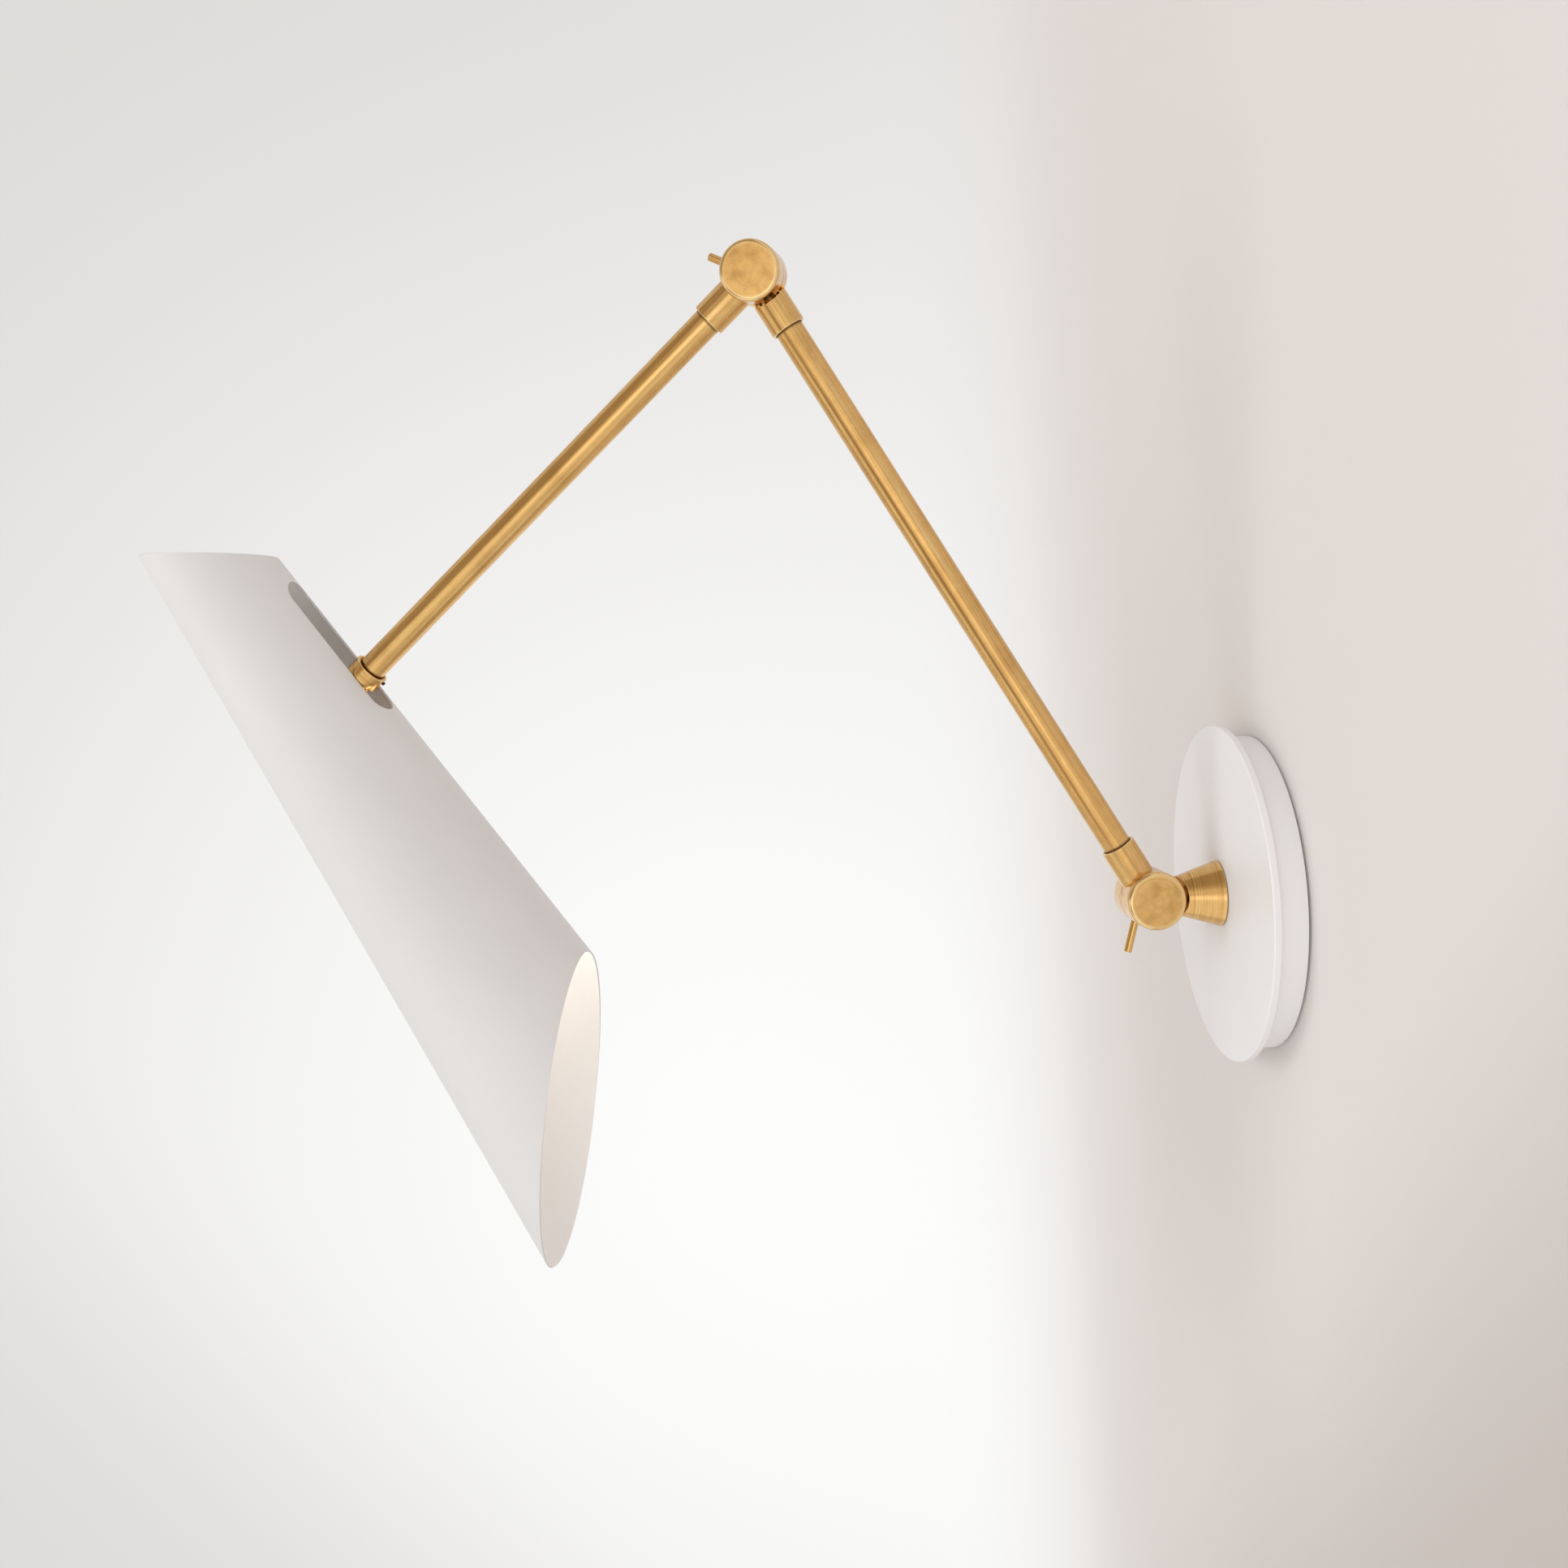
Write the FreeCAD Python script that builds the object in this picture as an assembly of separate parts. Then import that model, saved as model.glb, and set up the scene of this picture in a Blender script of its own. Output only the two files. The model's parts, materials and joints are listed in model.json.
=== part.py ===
"""Articulating wall lamp: a canopy, two tube arms with clamp knuckles and a slanted cone shade.

Millimetres. The origin is the centre of the canopy on the wall, the wall is the plane y = 0,
-Y points into the room and +Z points up. +X is the side of the knuckles' plain caps.
"""
import FreeCAD, Part
import math
import os

Vec = FreeCAD.Vector
X_AXIS = Vec(1, 0, 0)
Y_AXIS = Vec(0, 1, 0)
Z_AXIS = Vec(0, 0, 1)
ORIGIN = Vec(0, 0, 0)

# ---- pose of the lamp at rest, degrees above the horizontal that leaves the wall ----
LOWER_ARM_ELEVATION = 60.5
UPPER_ARM_ELEVATION = -40.0
SHADE_ELEVATION = -119.7
ELBOW_ROLL = -12.0
LOWER_BAR_ELEVATION = -74.0
ELBOW_BAR_ELEVATION = 26.5

# ---- lengths between pivots ----
WALL_TO_PIVOT = 48.0
LOWER_ARM_LENGTH = 325.0
UPPER_ARM_LENGTH = 290.0

# ---- canopy and its mounting ----
DISC_RADIUS = 75.0
DISC_THICKNESS = 3.2
DISC_RIM_WIDTH = 9.0
DISC_FACE = 1.4
DISC_EDGE = 0.8
CANOPY_DEPTH = 17.0
DRUM_RADIUS = 69.5
DRUM_WALL = 1.2
WALL_GAP = 0.9
STRAP_LENGTH = 104.0
STRAP_WIDTH = 22.0
STRAP_THICKNESS = 2.0
STRAP_CORNER = 4.0
SLOT_SPACING = 84.0
SLOT_LENGTH = 16.0
SLOT_RADIUS = 2.3
GROUND_SCREW_PLACE = 22.0
GROUND_HEAD_RADIUS = 3.8
GROUND_HEAD_HEIGHT = 2.4
GROUND_HEAD_FILLET = 0.6
GROUND_SHANK_RADIUS = 2.0
SCREW_SLOT_HALF_WIDTH = 0.5
SCREW_SLOT_DEPTH = 1.1
NIPPLE_RADIUS = 4.85
NIPPLE_BORE = 3.2
JAM_NUT_FLATS = 14.0
JAM_NUT_HEIGHT = 3.0

# ---- base swivel ----
BUSHING_RADIUS = 8.0
BUSHING_LENGTH = 10.0
BUSHING_THREAD_DEPTH = 8.0
GROOVE_FROM_CANOPY = 5.5
GROOVE_WIDTH = 3.2
GROOVE_DEPTH = 1.4
CONE_GAP = 0.3
CONE_WIDE_RADIUS = 15.0
CONE_SLOPE = 0.325
CONE_POCKET_END = 0.5
BASE_GRUB_RADIUS = 1.5
GRUB_KEY_FLATS = 1.4
GRUB_KEY_DEPTH = 1.2
RUNNING_GAP = 0.05
EASY_GAP = 0.2

# ---- clamp knuckles ----
BARREL_RADIUS = 13.0
CAP_FACE = 13.5
REAR_FACE = -12.5
PARTING_REAR = -1.5
PARTING_GAP = 0.5
PARTING_FRONT = PARTING_REAR + PARTING_GAP
WASHER_THICKNESS = 0.42
CAP_FILLET = 1.8
CAP_WALL = 3.0
POCKET_OUTER = 10.4
POCKET_INNER = 5.6
BARREL_CLEARANCE = 2.0
SLEEVE_RADIUS = 7.8
SLEEVE_END = 28.0
SLEEVE_FLOOR = 16.0
SLEEVE_CHAMFER = 0.4
CHANNEL_RADIUS = 3.4
CHANNEL_START = 7.1
WASHER_INSET = 0.4
CLAMP_RADIUS = 3.0
CLAMP_SCREW_END = 9.0
CLAMP_HEAD_RADIUS = 5.5
CLAMP_HEAD_LENGTH = 6.0
HEAD_CHAMFER = 0.6
BAR_RADIUS = 1.8
BAR_LENGTH = 36.0
BAR_END_FILLET = 0.5
LOWER_BAR_REACH = 28.0
ELBOW_BAR_REACH = 24.5

# ---- tubes ----
TUBE_RADIUS = 6.35
TUBE_WALL = 1.0
TUBE_BORE = TUBE_RADIUS - TUBE_WALL
PLUG_HEAD = 8.0
PLUG_SHANK = 14.0
PLUG_BORE = 2.8
PLUG_GROOVE_CENTRE = 20.2
PLUG_GROOVE_WIDTH = 2.7
PLUG_GROOVE_RADIUS = 5.0
ELBOW_GRUB_RADIUS = 1.25
UPPER_TUBE_END = 256.0
COLLAR_START = 251.5
COLLAR_LENGTH = 7.0
COLLAR_RADIUS = 8.4
COLLAR_CHAMFER = 0.3
COLLAR_RELIEF_WIDTH = 0.8
COLLAR_RELIEF_DEPTH = 1.2
COLLAR_SCREW_RADIUS = 0.8
COLLAR_SCREW_PLACE = 1.3
COLLAR_SCREW_PROUD = 0.8

# ---- hinge inside the shade ----
TONGUE_PLUG_START = 242.0
TONGUE_NECK_END = 264.0
TONGUE_HALF = 3.0
TONGUE_HALF_WIDTH = 6.0
EYE_RADIUS = 8.0
WIRE_BORE = 2.6
WIRE_EXIT = 261.2
WIRE_EXIT_BORE = 2.2
EAR_GAP = 0.3
EAR_THICKNESS = 3.0
FORK_BASE_START = 11.0
FORK_BASE_END = 14.0
TILT_RADIUS = 2.5
TILT_HEAD_RADIUS = 4.5
TILT_HEAD_HEIGHT = 2.8
TILT_HEAD_FILLET = 0.8
TILT_SCREW_TAIL = 1.0
TILT_NUT_FLATS = 8.0
TILT_NUT_HEIGHT = 4.0

# ---- lamp holder, along the shade's axis from the hinge ----
FORK_BOSS_RADIUS = 4.85
FORK_BOSS_END = 21.0
CAP_TOP_THICKNESS = 1.2
CAP_RADIUS = 19.0
CAP_SKIRT_END = 36.0
CAP_SKIRT_WALL = 1.0
CAP_SHOULDER = 2.0
FORK_NUT_HEIGHT = 3.0
FORK_NUT_FLATS = 13.0
BODY_START = 21.5
BODY_THREAD_RADIUS = 19.8
BODY_FLANGE_RADIUS = 23.0
BODY_FLANGE_START = 46.5
BODY_FLANGE_END = 48.5
BODY_END = 58.0
BODY_CAVITY_RADIUS = 14.0
BODY_CAVITY_START = 27.0
TERMINAL_HOLE_RADIUS = 1.6
TERMINAL_HOLE_PLACE = 9.0
SHELL_WALL = 0.5
SHELL_START = 30.0
SHELL_END = 55.0
CONTACT_RADIUS = 4.0
CONTACT_HEIGHT = 1.8
SPIDER_THICKNESS = 1.5
SPIDER_RING_RADIUS = 25.0
SPIDER_ARM_WIDTH = 10.0
RING_GAP = 0.1
RING_RADIUS = 26.0
RING_HEIGHT = 4.0
RING_NOTCHES = 12
RING_NOTCH_RADIUS = 1.2
RING_NOTCH_PLACE = RING_RADIUS + 0.4
SPIDER_ARM_TURNS = (90, 210, 330)

# ---- lamp bulb ----
BULB_CAP_RADIUS = 13.0
BULB_CAP_END = 55.0
BULB_TIP_RADIUS = 4.5
BULB_TIP_END = 30.4
BULB_SHELL_START = 33.0
BULB_RADIUS = 30.0
BULB_CENTRE = 101.0
BULB_NECK_RADIUS = 13.6
BULB_NECK_END = 61.0
BULB_WALL = 0.8
BULB_SWELL_ANGLE = 20.0
BULB_CAP_LEAD = 1.0

# ---- shade ----
SHADE_HUB_RADIUS = 33.4
SHADE_HALF_ANGLE = 4.4
SHADE_WALL = 0.9
SHADE_TOP = -93.3
SHADE_TOP_SLANT = -33.2
SHADE_TOP_TURN = -13.9
SHADE_MOUTH = 215.0
SHADE_MOUTH_SLANT = 50.6
SHADE_MOUTH_TURN = 0.0
SLOT_HALF_WIDTH = 8.8
SLOT_TOP = -61.0
SLOT_BOTTOM = 13.5
CONE_SPARE = 120.0
BIG = 600.0


# ---------------------------------------------------------------- small solids
def cylinder(radius, start, end, axis=Z_AXIS):
    """Round bar along an axis through the origin, between two places on it."""
    low = min(start, end)
    return Part.makeCylinder(radius, abs(end - start), axis * low, axis)


def pipe(outer, inner, start, end, axis=Z_AXIS):
    """Straight tube along an axis through the origin."""
    return cylinder(outer, start, end, axis).cut(cylinder(inner, start, end, axis))


def block(x_low, x_high, y_low, y_high, z_low, z_high):
    """Box between two corners."""
    size = Vec(x_high - x_low, y_high - y_low, z_high - z_low)
    return Part.makeBox(size.x, size.y, size.z, Vec(x_low, y_low, z_low))


def hexagon(flats, start, end, axis=Z_AXIS):
    """Hexagonal bar of the given width across flats."""
    corner = flats / math.sqrt(3.0)
    points = []
    for step in range(7):
        angle = math.radians(60.0 * step)
        points.append(Vec(corner * math.cos(angle), corner * math.sin(angle), 0))
    bar = Part.Face(Part.makePolygon(points)).extrude(Vec(0, 0, end - start))
    bar.translate(Vec(0, 0, start))
    if axis == X_AXIS:
        bar.rotate(ORIGIN, Y_AXIS, 90)
    if axis == Y_AXIS:
        bar.rotate(ORIGIN, X_AXIS, -90)
    return bar


def turned_profile(edges):
    """Solid of revolution about Z from the edges of a closed outline in the XZ plane."""
    return Part.Face(Part.Wire(edges)).revolve(ORIGIN, Z_AXIS, 360)


def line(start, end):
    """Straight edge between two (radius, height) points."""
    return Part.makeLine(Vec(start[0], 0, start[1]), Vec(end[0], 0, end[1]))


def arc(start, middle, end):
    """Round edge through three (radius, height) points."""
    points = [Vec(place[0], 0, place[1]) for place in (start, middle, end)]
    return Part.Arc(points[0], points[1], points[2]).toShape()


def rim_edges(solid, axis, place):
    """Edges that lie wholly in one plane across an axis."""
    found = []
    for edge in solid.Edges:
        box = edge.BoundBox
        low = Vec(box.XMin, box.YMin, box.ZMin).dot(axis)
        high = Vec(box.XMax, box.YMax, box.ZMax).dot(axis)
        if abs(low - place) < 1e-4 and abs(high - place) < 1e-4:
            found.append(edge)
    return found


# ---------------------------------------------------------------- places
def along(elevation):
    """Unit vector in the arms' plane at an elevation above the way out of the wall."""
    angle = math.radians(elevation)
    return Vec(0, -math.cos(angle), math.sin(angle))


LOWER_PIVOT = Vec(0, -WALL_TO_PIVOT, 0)
LOWER_DIRECTION = along(LOWER_ARM_ELEVATION)
ELBOW_PIVOT = LOWER_PIVOT + LOWER_DIRECTION * LOWER_ARM_LENGTH
HUB = ELBOW_PIVOT + along(UPPER_ARM_ELEVATION) * UPPER_ARM_LENGTH


def aim(solid, pivot, elevation):
    """Turn a piece modelled along +Z to an elevation and move it to its pivot."""
    placed = solid.copy()
    placed.rotate(ORIGIN, X_AXIS, 90.0 - elevation)
    placed.translate(pivot)
    return placed


def rolled(solid):
    """Roll a piece above the lower arm about that arm's own axis."""
    placed = solid.copy()
    placed.rotate(ELBOW_PIVOT, LOWER_DIRECTION, ELBOW_ROLL)
    return placed


def on_lower_arm(solid):
    """Place a piece that is modelled along the lower arm."""
    return aim(solid, LOWER_PIVOT, LOWER_ARM_ELEVATION)


def on_elbow_base(solid):
    """Place a piece of the elbow that is modelled along the lower arm, seen from the elbow."""
    return rolled(aim(solid, ELBOW_PIVOT, LOWER_ARM_ELEVATION + 180.0))


def on_upper_arm(solid):
    """Place a piece that is modelled along the upper arm."""
    return rolled(aim(solid, ELBOW_PIVOT, UPPER_ARM_ELEVATION))


def on_shade(solid):
    """Place a piece that is modelled along the shade's axis from the hinge."""
    return rolled(aim(solid, HUB, SHADE_ELEVATION))


# ---------------------------------------------------------------- canopy
def crossbar():
    """Strap on the wall box, with its slots, centre hole and earth screw hole."""
    half = STRAP_LENGTH / 2.0
    wide = STRAP_WIDTH / 2.0
    strap = block(-half, half, -STRAP_THICKNESS, 0, -wide, wide)
    corners = [edge for edge in strap.Edges if abs(edge.BoundBox.YLength - STRAP_THICKNESS) < 1e-6]
    strap = strap.makeFillet(STRAP_CORNER, corners)
    reach = (SLOT_LENGTH - 2 * SLOT_RADIUS) / 2.0
    for side in (-1, 1):
        centre = side * SLOT_SPACING / 2.0
        slot = block(centre - reach, centre + reach, -STRAP_THICKNESS, 0, -SLOT_RADIUS, SLOT_RADIUS)
        for end in (-reach, reach):
            hole = cylinder(SLOT_RADIUS, -STRAP_THICKNESS, 0, Y_AXIS)
            hole.translate(Vec(centre + end, 0, 0))
            slot = slot.fuse(hole)
        strap = strap.cut(slot)
    strap = strap.cut(cylinder(NIPPLE_RADIUS, -STRAP_THICKNESS, 0, Y_AXIS))
    earth = cylinder(GROUND_SHANK_RADIUS, -STRAP_THICKNESS, 0, Y_AXIS)
    earth.translate(Vec(GROUND_SCREW_PLACE, 0, 0))
    return strap.cut(earth)


def ground_screw():
    """Slotted earth screw in the crossbar."""
    front = -STRAP_THICKNESS
    head = cylinder(GROUND_HEAD_RADIUS, front - GROUND_HEAD_HEIGHT, front, Y_AXIS)
    head = head.makeFillet(GROUND_HEAD_FILLET, rim_edges(head, Y_AXIS, front - GROUND_HEAD_HEIGHT))
    groove_floor = front - GROUND_HEAD_HEIGHT + SCREW_SLOT_DEPTH
    groove = block(-SCREW_SLOT_HALF_WIDTH, SCREW_SLOT_HALF_WIDTH, -BIG, groove_floor, -BIG, BIG)
    screw = head.cut(groove).fuse(cylinder(GROUND_SHANK_RADIUS, front, 0, Y_AXIS))
    screw.translate(Vec(GROUND_SCREW_PLACE, 0, 0))
    return screw


def centre_nipple():
    """Hollow threaded tube from the crossbar to the swivel bushing."""
    end = -CANOPY_DEPTH - BUSHING_THREAD_DEPTH
    return pipe(NIPPLE_RADIUS, NIPPLE_BORE, end, 0, Y_AXIS)


def nipple_jam_nut():
    """Thin nut that locks the nipple against the crossbar."""
    end = -STRAP_THICKNESS - JAM_NUT_HEIGHT
    nut = hexagon(JAM_NUT_FLATS, end, -STRAP_THICKNESS, Y_AXIS)
    return nut.cut(cylinder(NIPPLE_RADIUS, end, 0, Y_AXIS))


def canopy_drum():
    """Pressed drum behind the disc, open towards the wall."""
    front = -CANOPY_DEPTH + DISC_THICKNESS
    drum = cylinder(DRUM_RADIUS, front, -WALL_GAP, Y_AXIS)
    drum = drum.cut(cylinder(DRUM_RADIUS - DRUM_WALL, front + DRUM_WALL, -WALL_GAP, Y_AXIS))
    return drum.cut(cylinder(NIPPLE_RADIUS + EASY_GAP, front, 0, Y_AXIS))


def canopy_disc():
    """Round front plate, thick at the rim and thin behind the face."""
    back = -CANOPY_DEPTH + DISC_THICKNESS
    disc = cylinder(DISC_RADIUS, -CANOPY_DEPTH, back, Y_AXIS)
    disc = disc.makeFillet(DISC_EDGE, rim_edges(disc, Y_AXIS, -CANOPY_DEPTH))
    pocket = pipe(DISC_RADIUS - DISC_RIM_WIDTH, BUSHING_RADIUS, -CANOPY_DEPTH + DISC_FACE, back, Y_AXIS)
    return disc.cut(pocket).cut(cylinder(NIPPLE_RADIUS + EASY_GAP, -BIG, 0, Y_AXIS))


# ---------------------------------------------------------------- base swivel
def groove_place():
    """Place of the bushing's groove along Y."""
    return -CANOPY_DEPTH - GROOVE_FROM_CANOPY


def swivel_bushing():
    """Threaded boss that clamps the canopy, grooved for the cone's grub screw."""
    end = -CANOPY_DEPTH - BUSHING_LENGTH
    half = GROOVE_WIDTH / 2.0
    bushing = cylinder(BUSHING_RADIUS, end, -CANOPY_DEPTH, Y_AXIS)
    groove = pipe(BUSHING_RADIUS + 1.0, BUSHING_RADIUS - GROOVE_DEPTH, -half, half, Y_AXIS)
    groove.translate(Vec(0, groove_place(), 0))
    thread = cylinder(NIPPLE_RADIUS, -CANOPY_DEPTH - BUSHING_THREAD_DEPTH, 0, Y_AXIS)
    return bushing.cut(groove).cut(thread).cut(cylinder(CHANNEL_RADIUS, end, 0, Y_AXIS))


def cone_radius(y_place):
    """Outer radius of the base cone at a place along Y."""
    return CONE_WIDE_RADIUS - CONE_SLOPE * (-CANOPY_DEPTH - y_place)


def base_cone():
    """Cone on the canopy that narrows into the rear half of the lower knuckle."""
    wide_place = -CANOPY_DEPTH - CONE_GAP
    thin_place = -WALL_TO_PIVOT + POCKET_INNER
    length = wide_place - thin_place
    cone = Part.makeCone(
        cone_radius(thin_place), cone_radius(wide_place), length, Vec(0, thin_place, 0), Y_AXIS
    )
    cone = cone.makeChamfer(SLEEVE_CHAMFER, rim_edges(cone, Y_AXIS, wide_place))
    cone.translate(-LOWER_PIVOT)
    body = cone.cut(cylinder(BARREL_RADIUS + BARREL_CLEARANCE, PARTING_REAR, BIG, X_AXIS))
    body = body.fuse(barrel_half(REAR_FACE, PARTING_REAR))
    body = hollowed(body, REAR_FACE, PARTING_REAR, CLAMP_RADIUS + RUNNING_GAP)
    body.translate(LOWER_PIVOT)
    pocket_end = -CANOPY_DEPTH - BUSHING_LENGTH - CONE_POCKET_END
    body = body.cut(cylinder(BUSHING_RADIUS + RUNNING_GAP, pocket_end, 0, Y_AXIS))
    body = body.cut(cylinder(CHANNEL_RADIUS, thin_place, 0, Y_AXIS))
    return body.cut(base_grub_space())


def base_grub_space():
    """Radial bar that fills the cone's grub screw hole."""
    tip = BUSHING_RADIUS - GROOVE_DEPTH + EASY_GAP
    bar = cylinder(BASE_GRUB_RADIUS, -cone_radius(groove_place()) + EASY_GAP, -tip, X_AXIS)
    bar.translate(Vec(0, groove_place(), 0))
    return bar


def base_grub_screw():
    """Grub screw whose point rides in the bushing's groove."""
    face = -cone_radius(groove_place()) + EASY_GAP
    socket = hexagon(GRUB_KEY_FLATS, face, face + GRUB_KEY_DEPTH, X_AXIS)
    socket.translate(Vec(0, groove_place(), 0))
    return base_grub_space().cut(socket)


# ---------------------------------------------------------------- clamp knuckles
def barrel_half(start, end):
    """Half of a knuckle's barrel about X, rounded on its outer cap."""
    barrel = cylinder(BARREL_RADIUS, start, end, X_AXIS)
    cap = start if abs(start) > abs(end) else end
    return barrel.makeFillet(CAP_FILLET, rim_edges(barrel, X_AXIS, cap))


def hollowed(body, cap_face, parting, screw_hole):
    """Cut the wire pocket and the screw's hole into one half of a knuckle."""
    inward = -1 if cap_face > 0 else 1
    floor = cap_face + inward * CAP_WALL
    pocket = pipe(POCKET_OUTER, POCKET_INNER, floor, parting, X_AXIS)
    if cap_face > 0:
        hole = cylinder(screw_hole, parting, CLAMP_SCREW_END + EASY_GAP, X_AXIS)
    else:
        hole = cylinder(screw_hole, cap_face, parting, X_AXIS)
    return body.cut(pocket).cut(hole)


def sleeved_half(cap_face, parting, far_side, socket_radius, screw_hole):
    """Half knuckle with a tube sleeve along +Z; far_side is where the other half's barrel ends."""
    sleeve = cylinder(SLEEVE_RADIUS, POCKET_INNER, SLEEVE_END)
    sleeve = sleeve.makeChamfer(SLEEVE_CHAMFER, rim_edges(sleeve, Z_AXIS, SLEEVE_END))
    other_half = cylinder(BARREL_RADIUS + BARREL_CLEARANCE, parting, far_side, X_AXIS)
    body = sleeve.cut(other_half).fuse(barrel_half(min(cap_face, parting), max(cap_face, parting)))
    body = hollowed(body, cap_face, parting, screw_hole)
    body = body.cut(cylinder(socket_radius, SLEEVE_FLOOR, BIG))
    return body.cut(cylinder(CHANNEL_RADIUS, CHANNEL_START, BIG))


def lower_knuckle():
    """Front half of the lower knuckle, which holds the lower tube."""
    half = sleeved_half(CAP_FACE, PARTING_FRONT, -BIG, TUBE_RADIUS, CLAMP_RADIUS)
    return on_lower_arm(half)


def elbow_knuckle_front():
    """Front half of the elbow, which holds the upper tube."""
    half = sleeved_half(CAP_FACE, PARTING_FRONT, -BIG, TUBE_RADIUS, CLAMP_RADIUS)
    return on_upper_arm(half)


def elbow_knuckle_rear():
    """Rear half of the elbow, which swivels on the end of the lower tube."""
    running = TUBE_RADIUS + RUNNING_GAP
    half = sleeved_half(REAR_FACE, PARTING_REAR, BIG, running, CLAMP_RADIUS + RUNNING_GAP)
    return on_elbow_base(half.cut(elbow_grub_space()))


def elbow_grub_space():
    """Radial bar that fills the elbow sleeve's grub screw hole."""
    bar = cylinder(ELBOW_GRUB_RADIUS, -SLEEVE_RADIUS + EASY_GAP, -PLUG_GROOVE_RADIUS - EASY_GAP, X_AXIS)
    bar.translate(Vec(0, 0, PLUG_GROOVE_CENTRE))
    return bar


def elbow_grub_screw():
    """Grub screw that keeps the elbow on the plug and lets it swivel."""
    face = -SLEEVE_RADIUS + EASY_GAP
    socket = hexagon(GRUB_KEY_FLATS, face, face + GRUB_KEY_DEPTH, X_AXIS)
    socket.translate(Vec(0, 0, PLUG_GROOVE_CENTRE))
    return on_elbow_base(elbow_grub_space().cut(socket))


def friction_washer():
    """Thin fibre ring on the rear half of a knuckle, a hair clear of the front half."""
    front = PARTING_REAR + WASHER_THICKNESS
    return pipe(BARREL_RADIUS - WASHER_INSET, POCKET_OUTER, PARTING_REAR, front, X_AXIS)


def lower_friction_washer():
    """Washer of the lower knuckle."""
    return aim(friction_washer(), LOWER_PIVOT, LOWER_ARM_ELEVATION)


def elbow_friction_washer():
    """Washer of the elbow."""
    return on_elbow_base(friction_washer())


def clamp_bar_place():
    """Place of the bar handle along the clamp screw."""
    return REAR_FACE - EASY_GAP - CLAMP_HEAD_LENGTH / 2.0


def clamp_screw():
    """Pivot screw with a round head, drilled across for its bar handle."""
    head_end = REAR_FACE - EASY_GAP
    head = cylinder(CLAMP_HEAD_RADIUS, head_end - CLAMP_HEAD_LENGTH, head_end, X_AXIS)
    head = head.makeChamfer(HEAD_CHAMFER, rim_edges(head, X_AXIS, head_end - CLAMP_HEAD_LENGTH))
    shank = cylinder(CLAMP_RADIUS - RUNNING_GAP, head_end, CLAMP_SCREW_END, X_AXIS)
    return head.fuse(shank).cut(clamp_bar(0.0))


def clamp_bar(reach):
    """Bar handle along +Z across the clamp screw's head; reach 0 gives its endless hole."""
    if reach:
        bar = cylinder(BAR_RADIUS, reach - BAR_LENGTH, reach)
        bar = bar.makeFillet(BAR_END_FILLET, rim_edges(bar, Z_AXIS, reach))
        bar = bar.makeFillet(BAR_END_FILLET, rim_edges(bar, Z_AXIS, reach - BAR_LENGTH))
    else:
        bar = cylinder(BAR_RADIUS, -BIG, BIG)
    bar.translate(Vec(clamp_bar_place(), 0, 0))
    return bar


def lower_clamp_screw():
    """Pivot screw of the lower knuckle."""
    return aim(clamp_screw(), LOWER_PIVOT, LOWER_BAR_ELEVATION)


def lower_clamp_bar():
    """Bar handle of the lower knuckle."""
    return aim(clamp_bar(LOWER_BAR_REACH), LOWER_PIVOT, LOWER_BAR_ELEVATION)


def elbow_clamp_screw():
    """Pivot screw of the elbow."""
    return rolled(aim(clamp_screw(), ELBOW_PIVOT, ELBOW_BAR_ELEVATION))


def elbow_clamp_bar():
    """Bar handle of the elbow."""
    return rolled(aim(clamp_bar(ELBOW_BAR_REACH), ELBOW_PIVOT, ELBOW_BAR_ELEVATION))


# ---------------------------------------------------------------- arms
def lower_tube_end():
    """Place of the lower tube's top end along the arm."""
    return LOWER_ARM_LENGTH - SLEEVE_FLOOR - PLUG_HEAD


def lower_arm_tube():
    """Lower tube, from the lower knuckle's sleeve into the elbow's."""
    return on_lower_arm(pipe(TUBE_RADIUS, TUBE_BORE, SLEEVE_FLOOR, lower_tube_end()))


def elbow_swivel_plug():
    """Hollow plug in the tube's end, with the groove that the elbow's grub screw rides in."""
    end = lower_tube_end()
    groove_centre = LOWER_ARM_LENGTH - PLUG_GROOVE_CENTRE
    half = PLUG_GROOVE_WIDTH / 2.0
    plug = cylinder(TUBE_RADIUS, end, end + PLUG_HEAD - EASY_GAP)
    plug = plug.fuse(cylinder(TUBE_BORE, end - PLUG_SHANK, end))
    plug = plug.cut(pipe(BIG, PLUG_GROOVE_RADIUS, groove_centre - half, groove_centre + half))
    return on_lower_arm(plug.cut(cylinder(PLUG_BORE, 0, BIG)))


def upper_arm_tube():
    """Upper tube, from the elbow's sleeve to the shade's hinge."""
    return on_upper_arm(pipe(TUBE_RADIUS, TUBE_BORE, SLEEVE_FLOOR, UPPER_TUBE_END))


def collar_screw_space():
    """Bar across the collar's wall on the side that faces the wall."""
    bar = cylinder(COLLAR_SCREW_RADIUS, TUBE_RADIUS, COLLAR_RADIUS + COLLAR_SCREW_PROUD, Y_AXIS * -1)
    bar.translate(Vec(0, 0, COLLAR_START + COLLAR_SCREW_PLACE))
    return bar


def arm_collar():
    """Ferrule over the joint between the upper tube and the hinge tongue, relieved at its start."""
    collar = pipe(COLLAR_RADIUS, TUBE_RADIUS, COLLAR_START, COLLAR_START + COLLAR_LENGTH)
    outer = []
    for place in (COLLAR_START, COLLAR_START + COLLAR_LENGTH):
        rims = rim_edges(collar, Z_AXIS, place)
        outer.append(max(rims, key=lambda edge: edge.Curve.Radius))
    collar = collar.makeChamfer(COLLAR_CHAMFER, outer)
    relief = cylinder(TUBE_RADIUS + COLLAR_RELIEF_WIDTH, COLLAR_START, COLLAR_START + COLLAR_RELIEF_DEPTH)
    return on_upper_arm(collar.cut(relief).cut(collar_screw_space()))


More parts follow.
